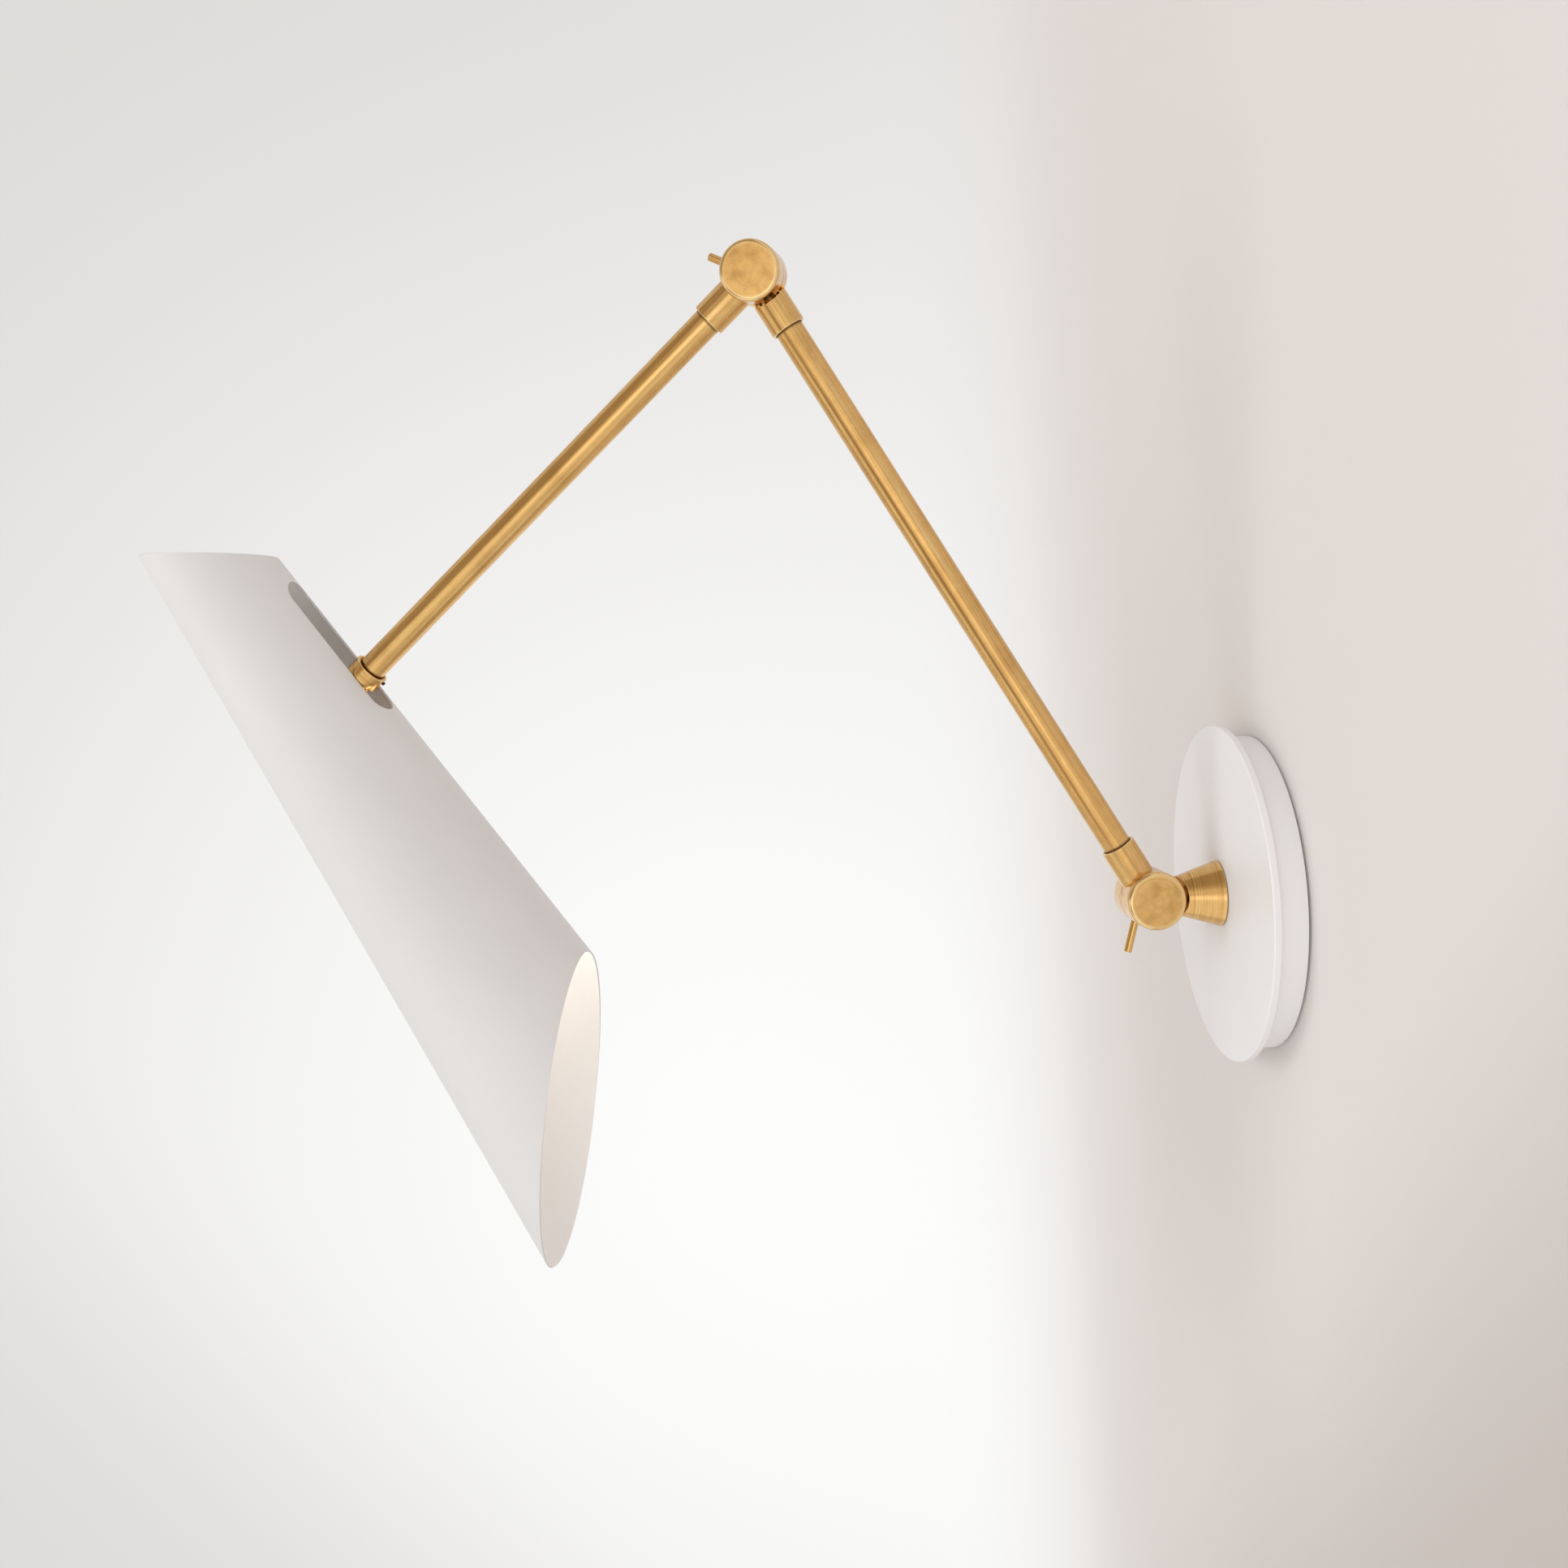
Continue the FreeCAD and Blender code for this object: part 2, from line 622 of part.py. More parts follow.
def collar_screw():
    """Small dark screw that stands out of the collar."""
    return on_upper_arm(collar_screw_space())


def hinge_tongue():
    """Fitting in the upper tube's end: a plug, a neck and a flat eye at the hinge."""
    fitting = cylinder(TUBE_BORE, TONGUE_PLUG_START, UPPER_TUBE_END)
    fitting = fitting.fuse(cylinder(TUBE_RADIUS, UPPER_TUBE_END, TONGUE_NECK_END))
    wide = TONGUE_HALF_WIDTH
    web = block(-TONGUE_HALF, TONGUE_HALF, -wide, wide, TONGUE_NECK_END, UPPER_ARM_LENGTH)
    eye = cylinder(EYE_RADIUS, -TONGUE_HALF, TONGUE_HALF, X_AXIS)
    eye.translate(Vec(0, 0, UPPER_ARM_LENGTH))
    hole = cylinder(TILT_RADIUS + RUNNING_GAP, -TONGUE_HALF, TONGUE_HALF, X_AXIS)
    hole.translate(Vec(0, 0, UPPER_ARM_LENGTH))
    wire_way = cylinder(WIRE_BORE, TONGUE_PLUG_START, WIRE_EXIT)
    wire_side = cylinder(WIRE_EXIT_BORE, -BIG, 0, X_AXIS)
    wire_side.translate(Vec(0, 0, WIRE_EXIT))
    return on_upper_arm(fitting.fuse(web).fuse(eye).cut(hole).cut(wire_way).cut(wire_side))


# ---------------------------------------------------------------- shade hinge and lamp holder
def ear_span():
    """Inner and outer faces of the fork's ears along X."""
    inner = TONGUE_HALF + EAR_GAP
    return inner, inner + EAR_THICKNESS


def shade_fork():
    """Fork around the tongue, with a threaded boss into the socket cap."""
    inner, outer = ear_span()
    fork = block(-outer, outer, -EYE_RADIUS, EYE_RADIUS, FORK_BASE_START, FORK_BASE_END)
    for side in (-1, 1):
        low = min(side * inner, side * outer)
        high = max(side * inner, side * outer)
        fork = fork.fuse(cylinder(EYE_RADIUS, low, high, X_AXIS))
        fork = fork.fuse(block(low, high, -EYE_RADIUS, EYE_RADIUS, 0, FORK_BASE_END))
    fork = fork.fuse(cylinder(FORK_BOSS_RADIUS, FORK_BASE_END, FORK_BOSS_END))
    fork = fork.cut(cylinder(TILT_RADIUS, -BIG, BIG, X_AXIS))
    return on_shade(fork.cut(cylinder(NIPPLE_BORE, FORK_BASE_START, FORK_BOSS_END)))


def tilt_screw():
    """Hinge screw through the ears and the tongue."""
    outer = ear_span()[1]
    head = cylinder(TILT_HEAD_RADIUS, outer, outer + TILT_HEAD_HEIGHT, X_AXIS)
    head = head.makeFillet(TILT_HEAD_FILLET, rim_edges(head, X_AXIS, outer + TILT_HEAD_HEIGHT))
    groove_floor = outer + TILT_HEAD_HEIGHT - SCREW_SLOT_DEPTH
    groove = block(groove_floor, BIG, -SCREW_SLOT_HALF_WIDTH, SCREW_SLOT_HALF_WIDTH, -BIG, BIG)
    shank = cylinder(TILT_RADIUS, -outer - TILT_NUT_HEIGHT - TILT_SCREW_TAIL, outer, X_AXIS)
    return on_shade(head.cut(groove).fuse(shank))


def tilt_nut():
    """Nut that sets the hinge's friction."""
    outer = ear_span()[1]
    nut = hexagon(TILT_NUT_FLATS, -outer - TILT_NUT_HEIGHT, -outer, X_AXIS)
    return on_shade(nut.cut(cylinder(TILT_RADIUS, -BIG, 0, X_AXIS)))


def fork_nut():
    """Nut on the fork's boss inside the socket cap."""
    start = FORK_BASE_END + CAP_TOP_THICKNESS
    nut = hexagon(FORK_NUT_FLATS, start, start + FORK_NUT_HEIGHT)
    return on_shade(nut.cut(cylinder(FORK_BOSS_RADIUS, 0, BIG)))


def socket_cap():
    """Metal cup over the back of the lamp holder."""
    cap = cylinder(CAP_RADIUS, FORK_BASE_END, CAP_SKIRT_END)
    cap = cap.makeFillet(CAP_SHOULDER, rim_edges(cap, Z_AXIS, FORK_BASE_END))
    room = cylinder(CAP_RADIUS - CAP_SKIRT_WALL, FORK_BASE_END + CAP_TOP_THICKNESS, CAP_SKIRT_END)
    room_top = rim_edges(room, Z_AXIS, FORK_BASE_END + CAP_TOP_THICKNESS)
    room = room.makeFillet(CAP_SHOULDER - CAP_SKIRT_WALL, room_top)
    return on_shade(cap.cut(room).cut(cylinder(FORK_BOSS_RADIUS, 0, BIG)))


def socket_body():
    """Insulating body: a plug in the cap, a flange and a threaded barrel."""
    body = cylinder(CAP_RADIUS - CAP_SKIRT_WALL, BODY_START, CAP_SKIRT_END)
    body = body.fuse(cylinder(BODY_THREAD_RADIUS, CAP_SKIRT_END, BODY_END))
    body = body.fuse(cylinder(BODY_FLANGE_RADIUS, BODY_FLANGE_START, BODY_FLANGE_END))
    for side in (-1, 1):
        wire_hole = cylinder(TERMINAL_HOLE_RADIUS, BODY_START, BODY_CAVITY_START)
        wire_hole.translate(Vec(0, side * TERMINAL_HOLE_PLACE, 0))
        body = body.cut(wire_hole)
    return on_shade(body.cut(cylinder(BODY_CAVITY_RADIUS, BODY_CAVITY_START, BIG)))


def socket_shell():
    """Thin metal screw shell that lines the holder."""
    return on_shade(pipe(BODY_CAVITY_RADIUS, BODY_CAVITY_RADIUS - SHELL_WALL, SHELL_START, SHELL_END))


def socket_contact():
    """Centre contact on the floor of the holder."""
    contact = cylinder(CONTACT_RADIUS, BODY_CAVITY_START, BODY_CAVITY_START + CONTACT_HEIGHT)
    return on_shade(contact)


def shade_spider():
    """Ring with three arms that reach the inside of the shade."""
    start = BODY_FLANGE_END
    end = start + SPIDER_THICKNESS
    spider = cylinder(SPIDER_RING_RADIUS, start, end)
    for turn in SPIDER_ARM_TURNS:
        arm = block(0, BIG, -SPIDER_ARM_WIDTH / 2.0, SPIDER_ARM_WIDTH / 2.0, start, end)
        arm.rotate(ORIGIN, Z_AXIS, turn)
        spider = spider.fuse(arm)
    spider = spider.common(shade_cone(SHADE_WALL))
    return on_shade(spider.cut(cylinder(BODY_THREAD_RADIUS + RING_GAP, 0, BIG)))


def shade_ring():
    """Ring nut that clamps the spider against the holder's flange."""
    start = BODY_FLANGE_END + SPIDER_THICKNESS
    ring = pipe(RING_RADIUS, BODY_THREAD_RADIUS, start, start + RING_HEIGHT)
    for step in range(RING_NOTCHES):
        notch = cylinder(RING_NOTCH_RADIUS, start, start + RING_HEIGHT)
        notch.translate(Vec(RING_NOTCH_PLACE, 0, 0))
        notch.rotate(ORIGIN, Z_AXIS, 360.0 / RING_NOTCHES * step)
        ring = ring.cut(notch)
    return on_shade(ring)


def bulb_cap():
    """Screw cap of the bulb with its insulated tip."""
    tip_start = BODY_CAVITY_START + CONTACT_HEIGHT
    outline = [
        (0, tip_start),
        (BULB_TIP_RADIUS, tip_start),
        (BULB_TIP_RADIUS, BULB_TIP_END),
        (BULB_CAP_RADIUS - BULB_CAP_LEAD, BULB_SHELL_START),
        (BULB_CAP_RADIUS, BULB_SHELL_START + BULB_CAP_LEAD),
        (BULB_CAP_RADIUS, BULB_CAP_END),
        (0, BULB_CAP_END),
    ]
    edges = [line(outline[i], outline[(i + 1) % len(outline)]) for i in range(len(outline))]
    return on_shade(turned_profile(edges))


def bulb_outline(inset):
    """Edges of the bulb's glass, moved in by an inset: neck, swelling and round end."""
    radius = BULB_RADIUS - inset
    neck = BULB_NECK_RADIUS - inset
    meet = math.radians(BULB_SWELL_ANGLE)
    swell = (radius * math.cos(meet), BULB_CENTRE - radius * math.sin(meet))
    side = (radius, BULB_CENTRE)
    tip = (0, BULB_CENTRE + radius)
    shoulder = (radius * math.sqrt(0.5), BULB_CENTRE + radius * math.sqrt(0.5))
    near_side = (radius * math.cos(meet / 2), BULB_CENTRE - radius * math.sin(meet / 2))
    return [
        line((0, BULB_CAP_END), (neck, BULB_CAP_END)),
        line((neck, BULB_CAP_END), (neck, BULB_NECK_END)),
        line((neck, BULB_NECK_END), swell),
        arc(swell, near_side, side),
        arc(side, shoulder, tip),
        line(tip, (0, BULB_CAP_END)),
    ]


def bulb_glass():
    """Hollow glass envelope of the bulb."""
    outer = turned_profile(bulb_outline(0.0))
    inner = turned_profile(bulb_outline(BULB_WALL))
    return on_shade(outer.cut(inner))


# ---------------------------------------------------------------- shade
def shade_cone(inset):
    """Full cone about the shade's axis, moved in by an inset square to its wall."""
    slope = math.tan(math.radians(SHADE_HALF_ANGLE))
    drop = inset / math.cos(math.radians(SHADE_HALF_ANGLE))
    low = SHADE_TOP - CONE_SPARE / 2
    high = SHADE_MOUTH + CONE_SPARE
    small = SHADE_HUB_RADIUS + slope * low - drop
    large = SHADE_HUB_RADIUS + slope * high - drop
    return Part.makeCone(small, large, high - low, Vec(0, 0, low), Z_AXIS)


def slanted_half(place, slant, turn, upward):
    """Half space beyond a plane across the axis, tipped about X and then turned about the axis."""
    half = block(-BIG, BIG, -BIG, BIG, 0, BIG) if upward else block(-BIG, BIG, -BIG, BIG, -BIG, 0)
    half.rotate(ORIGIN, X_AXIS, slant)
    half.rotate(ORIGIN, Z_AXIS, turn)
    half.translate(Vec(0, 0, place))
    return half


def shade():
    """Thin cone cut at a slant at both ends, with the arm's slot on its wall side."""
    skin = shade_cone(0.0).cut(shade_cone(SHADE_WALL))
    skin = skin.cut(slanted_half(SHADE_TOP, SHADE_TOP_SLANT, SHADE_TOP_TURN, False))
    skin = skin.cut(slanted_half(SHADE_MOUTH, SHADE_MOUTH_SLANT, SHADE_MOUTH_TURN, True))
    low = SLOT_TOP + SLOT_HALF_WIDTH
    high = SLOT_BOTTOM - SLOT_HALF_WIDTH
    slot = block(-SLOT_HALF_WIDTH, SLOT_HALF_WIDTH, -2 * SHADE_HUB_RADIUS, -SLOT_HALF_WIDTH, low, high)
    for place in (low, high):
        end = cylinder(SLOT_HALF_WIDTH, SLOT_HALF_WIDTH, 2 * SHADE_HUB_RADIUS, Y_AXIS * -1)
        end.translate(Vec(0, 0, place))
        slot = slot.fuse(end)
    return on_shade(skin.cut(slot))


PIECES = (
    crossbar,
    ground_screw,
    centre_nipple,
    nipple_jam_nut,
    canopy_drum,
    canopy_disc,
    swivel_bushing,
    base_cone,
    base_grub_screw,
    lower_friction_washer,
    lower_clamp_screw,
    lower_clamp_bar,
    lower_knuckle,
    lower_arm_tube,
    elbow_swivel_plug,
    elbow_knuckle_rear,
    elbow_grub_screw,
    elbow_friction_washer,
    elbow_clamp_screw,
    elbow_clamp_bar,
    elbow_knuckle_front,
    upper_arm_tube,
    arm_collar,
    collar_screw,
    hinge_tongue,
    shade_fork,
    tilt_screw,
    tilt_nut,
    fork_nut,
    socket_cap,
    socket_body,
    socket_shell,
    socket_contact,
    shade_spider,
    shade_ring,
    bulb_cap,
    bulb_glass,
    shade,
)


def main():
    """Build every piece and write it to its own file."""
    os.makedirs("parts", exist_ok=True)
    for piece in PIECES:
        solid = piece()
        if len(solid.Solids) != 1 or not solid.isValid():
            print("CHECK", piece.__name__, len(solid.Solids), solid.isValid())
        solid.exportStep(os.path.join("parts", piece.__name__ + ".step"))
    print("pieces", len(PIECES))


main()
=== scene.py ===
"""Looks of an articulating wall lamp: fine shapes, finishes, stage, light and camera.

Metres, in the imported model's own frame: the wall is the plane y = 0, -Y points into the room,
+Z points up and +X is the side of the knuckles' plain caps. Each piece is modelled in the local
frame of its sub-assembly, where Z runs along the arm and X along the knuckle's axis, and is then
put in its place.
"""
import json
import logging
import math
from collections.abc import Callable
from dataclasses import dataclass, field
from enum import Enum

import bmesh
import bpy
from mathutils import Matrix, Vector


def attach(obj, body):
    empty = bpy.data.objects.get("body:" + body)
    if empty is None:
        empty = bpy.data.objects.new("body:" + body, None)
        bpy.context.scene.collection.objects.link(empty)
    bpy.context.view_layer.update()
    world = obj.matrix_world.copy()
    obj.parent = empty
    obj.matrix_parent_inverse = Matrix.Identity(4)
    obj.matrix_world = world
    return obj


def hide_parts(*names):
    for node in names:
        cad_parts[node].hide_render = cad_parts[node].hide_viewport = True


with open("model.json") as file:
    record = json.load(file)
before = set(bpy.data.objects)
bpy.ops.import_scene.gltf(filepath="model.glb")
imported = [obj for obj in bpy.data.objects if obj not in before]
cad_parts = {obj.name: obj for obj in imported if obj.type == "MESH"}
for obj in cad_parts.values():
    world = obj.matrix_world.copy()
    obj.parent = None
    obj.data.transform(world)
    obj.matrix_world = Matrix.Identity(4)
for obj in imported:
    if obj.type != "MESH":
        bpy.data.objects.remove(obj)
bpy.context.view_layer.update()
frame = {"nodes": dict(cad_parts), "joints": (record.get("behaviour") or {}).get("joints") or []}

log = logging.getLogger("wall_lamp")

MM = 0.001
FULL_TURN = 2.0 * math.pi
IMAGE_SIDE_PX = 1932
MERGE_DRAWN = 0.0005 * MM
MERGE_TURNED = 0.0008 * MM
OFF_AXIS = 0.01 * MM
REFRACTION = 1.5
X_AXIS = Vector((1.0, 0.0, 0.0))
Y_AXIS = Vector((0.0, 1.0, 0.0))
Z_AXIS = Vector((0.0, 0.0, 1.0))

Colour = tuple[float, float, float, float]
Pair = tuple[float, float]
Triple = tuple[float, float, float]
Corner = tuple[float, ...]
Piece = bpy.types.Object
Material = bpy.types.Material


# ------------------------------------------------------------------ places in the frame
class Axis(Enum):
    """Local axis that a turned piece is turned about."""

    X = 0
    Y = 1
    Z = 2

    def point(self, radius: float, height: float) -> Vector:
        """Point of an outline at a radius from this axis and a height along it."""
        places = {
            Axis.X: (height, 0.0, radius),
            Axis.Y: (radius, height, 0.0),
            Axis.Z: (radius, 0.0, height),
        }
        return Vector(places[self])

    def direction(self) -> Vector:
        """Unit vector along this axis."""
        return (X_AXIS, Y_AXIS, Z_AXIS)[self.value]


def local_frame(origin: Vector, x_axis: Vector, z_axis: Vector) -> Matrix:
    """Make the matrix of a local frame.

    Args:
        origin: Where the frame's origin is.
        x_axis: Direction of its X axis.
        z_axis: Direction of its Z axis, square to X.

    Returns:
        The matrix that takes local points to the lamp's frame.
    """
    x_unit = x_axis.normalized()
    z_unit = z_axis.normalized()
    turn = Matrix((x_unit, z_unit.cross(x_unit), z_unit)).transposed()
    return Matrix.Translation(origin) @ turn.to_4x4()


def joint(name: str) -> tuple[Vector, Vector]:
    """Pivot and unit axis of a joint at rest, by its name in the record."""
    found = next(entry for entry in frame["joints"] if entry["name"] == name)
    return Vector(found["pos_m"]), Vector(found["axis"]).normalized()


@dataclass(frozen=True)
class Span:
    """Lowest and highest corner of a node in some local frame."""

    low: Vector
    high: Vector

    @classmethod
    def of(cls, node: str, place: Matrix) -> "Span":
        """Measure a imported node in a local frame.

        Args:
            node: The node's name.
            place: The local frame's matrix.

        Returns:
            The node's span there.
        """
        back = place.inverted()
        points = [back @ vertex.co for vertex in frame["nodes"][node].data.vertices]
        low = Vector([min(point[i] for point in points) for i in range(3)])
        high = Vector([max(point[i] for point in points) for i in range(3)])
        return cls(low, high)

    def about(self, axis: Axis) -> Triple:
        """Radius, start and end of a round node about the local Y or Z axis."""
        return self.high.x, self.low[axis.value], self.high[axis.value]


@dataclass(frozen=True)
class LampPlaces:
    """Local frames of the lamp's sub-assemblies, worked out from its joints."""

    lower: Matrix
    lower_handle: Matrix
    elbow_base: Matrix
    elbow_handle: Matrix
    upper: Matrix
    shade: Matrix

    HANDLE_TURN_LOWER = math.radians(134.5)
    HANDLE_TURN_ELBOW = math.radians(214.0)
    SHADE_TURN = math.radians(79.7)

    @classmethod
    def from_joints(cls) -> "LampPlaces":
        """Read the pivots and lay the frames along the arms.

        Returns:
            The local frames.
        """
        lower_pivot, lower_axis = joint("lower_arm_pivot")
        elbow_pivot, elbow_axis = joint("elbow_pivot")
        hub, hub_axis = joint("shade_tilt")
        lower_arm = elbow_pivot - lower_pivot
        upper_arm = (hub - elbow_pivot).normalized()
        lower = local_frame(lower_pivot, lower_axis, lower_arm)
        elbow_base = local_frame(elbow_pivot, elbow_axis, -lower_arm)
        return cls(
            lower=lower,
            lower_handle=lower @ Matrix.Rotation(cls.HANDLE_TURN_LOWER, 4, "X"),
            elbow_base=elbow_base,
            elbow_handle=elbow_base @ Matrix.Rotation(cls.HANDLE_TURN_ELBOW, 4, "X"),
            upper=local_frame(elbow_pivot, elbow_axis, upper_arm),
            shade=local_frame(hub, hub_axis, Matrix.Rotation(cls.SHADE_TURN, 3, hub_axis) @ upper_arm),
        )


# ------------------------------------------------------------------ shader maths
def _operator(operation: str, swapped: bool = False) -> Callable[["Field", "Number"], "Field"]:
    """Make an operator that adds one Math node on a field and a number.

    Args:
        operation: The Math node's operation.
        swapped: Whether the number comes first, as in a reflected form.

    Returns:
        The operator.
    """

    def apply(own: "Field", other: "Number") -> "Field":
        """Add the Math node."""
        first, second = (other, own) if swapped else (own, other)
        return own.shader.node("ShaderNodeMath", {"operation": operation}, {0: first, 1: second})

    return apply


class Field:
    """A value or colour in a material's nodes, with Python's operators for its maths."""

    __add__ = __radd__ = _operator("ADD")
    __sub__ = _operator("SUBTRACT")
    __rsub__ = _operator("SUBTRACT", swapped=True)
    __mul__ = __rmul__ = _operator("MULTIPLY")
    __pow__ = _operator("POWER")

    def __init__(self, shader: "Shader", socket: bpy.types.NodeSocket) -> None:
        """Keep the socket and the shader that it belongs to."""
        self.shader = shader
        self.socket = socket

    def length_with(self, other: "Field") -> "Field":
        """Length of the vector with this value and another as its sides."""
        return (self * self + other * other) ** 0.5

    def ramp(self, low: float, high: float) -> "Field":
        """Step smoothly from 0 to 1.

        Args:
            low: Value up to which it is 0.
            high: Value from which it is 1.

        Returns:
            The step.
        """
        settings = {"interpolation_type": "SMOOTHSTEP", "clamp": True}
        sockets = {"Value": self, "From Min": low, "From Max": high}
        return self.shader.node("ShaderNodeMapRange", settings, sockets)

    def band(self, centre: float, half_width: float) -> "Field":
        """Soft band, 1 at the centre value and 0 past the half width."""
        distance = self.shader.node("ShaderNodeMath", {"operation": "ABSOLUTE"}, {0: self - centre})
        return 1.0 - distance.ramp(0.0, half_width)


Number = float | Field
Socket = Number | Colour | Triple


class Shader:
    """Node tree of one material or world."""

    def __init__(self, name: str, owner: bpy.types.World | None = None) -> None:
        """Start an empty material, or empty the nodes of a world.

        Args:
            name: Name of the material.
            owner: The world, where it isn't a material.
        """
        self.owner = owner or bpy.data.materials.new(name)
        self.owner.use_nodes = True
        self.tree = self.owner.node_tree
        self.tree.nodes.clear()

    def node(
        self,
        kind: str,
        settings: dict[str, object],
        sockets: dict[int | str, Socket],
        output: int | str = 0,
    ) -> Field:
        """Add one node.

        Args:
            kind: The node's type.
            settings: Its own settings.
            sockets: Values or links of its inputs.
            output: The output that is returned.

        Returns:
            That output.
        """
        made = self.tree.nodes.new(kind)
        for name, value in settings.items():
            setattr(made, name, value)
        for key, value in sockets.items():
            if isinstance(value, Field):
                self.tree.links.new(value.socket, made.inputs[key])
            else:
                made.inputs[key].default_value = value
        return Field(self, made.outputs[output])

    def mix(self, factor: Number, first: Socket, second: Socket) -> Field:
        """Mix two colours by a factor."""
        return self.node("ShaderNodeMix", {"data_type": "RGBA"}, {0: factor, 6: first, 7: second}, 2)

    def noise(self, vector: Field, scale: float, detail: float = 2.0, rough: float = 0.5) -> Field:
        """Noise about 0.5 on a vector."""
        sockets = {"Vector": vector, "Scale": scale, "Detail": detail, "Roughness": rough}
        return self.node("ShaderNodeTexNoise", {}, sockets, "Fac")

    def combine(self, x: Number, y: Number, z: Number) -> Field:
        """Vector from three values."""
        return self.node("ShaderNodeCombineXYZ", {}, {0: x, 1: y, 2: z})

    def sides(self, vector: Field) -> tuple[Field, ...]:
        """X, Y and Z of a vector."""
        split = self.node("ShaderNodeSeparateXYZ", {}, {0: vector})
        return tuple(Field(self, output) for output in split.socket.node.outputs)

    def point(self) -> Field:
        """Point on the surface, in metres."""
        return self.node("ShaderNodeTexCoord", {}, {}, "Object")

    def local_point(self, place: Matrix) -> Field:
        """Find the point on the surface in a sub-assembly's local frame.

        Args:
            place: That frame's matrix.

        Returns:
            The point, in millimetres.
        """
        back = place.inverted()
        per_mm = (1 / MM, 1 / MM, 1 / MM)
        sockets = {
            "Vector": self.point(),
            "Location": tuple((Matrix.Diagonal((*per_mm, 1.0)) @ back).translation),
            "Rotation": tuple(back.to_euler("XYZ")),
            "Scale": per_mm,
        }
        return self.node("ShaderNodeMapping", {"vector_type": "POINT"}, sockets)

    def ray(self, kind: str) -> Field:
        """1 on rays of one kind, named as in the Light Path node, 0 on other rays."""
        return self.node("ShaderNodeLightPath", {}, {}, kind)

    def seen_by_eye(self) -> Field:
        """1 on rays from the camera and on what metal or glass shows of them, 0 on other rays."""
        rays = self.ray("Is Camera Ray") + self.ray("Is Glossy Ray") + self.ray("Is Transmission Ray")
        return rays.ramp(0.0, 1.0)

    def bump(self, height: Field, distance: float) -> Field:
        """Normal bent by a height of 0 to 1 that stands a distance in metres."""
        sockets = {"Height": height, "Distance": distance, "Strength": 1.0}
        return self.node("ShaderNodeBump", {}, sockets, "Normal")

    def end(self, shading: Field, kind: str = "ShaderNodeOutputMaterial") -> Material:
        """Join the last shader to the output node.

        Args:
            shading: The last shader.
            kind: The output node's type.

        Returns:
            The finished material or world.
        """
        output = self.tree.nodes.new(kind)
        self.tree.links.new(shading.socket, output.inputs["Surface"])
        return self.owner


# ------------------------------------------------------------------ finishes
class Grain(Enum):
    """Which way a metal's brushing runs in a piece's local frame."""

    ALONG_Z = "along"
    AROUND_X = "around_x"
    AROUND_Y = "around_y"
    AROUND_Z = "around_z"


@dataclass(frozen=True)
class Rim:
    """Edge with a painted highlight: a band of radius and of height about the grain's axis."""

    radius: float
    height: float
    reach: float = 0.9


@dataclass(frozen=True)
class Finish:
    """Finish of one Principled shader, whose sockets each kind of finish gives."""

    name: str

    def sockets(self, shader: Shader) -> dict[str, Socket]:
        """Give the Principled shader its looks.

        Args:
            shader: Node tree that the nodes are added to.

        Returns:
            Values and links by the names of the Principled shader's inputs.
        """
        raise NotImplementedError

    def material(self) -> Material:
        """Make the material."""
        shader = Shader(self.name)
        return shader.end(shader.node("ShaderNodeBsdfPrincipled", {}, self.sockets(shader)))


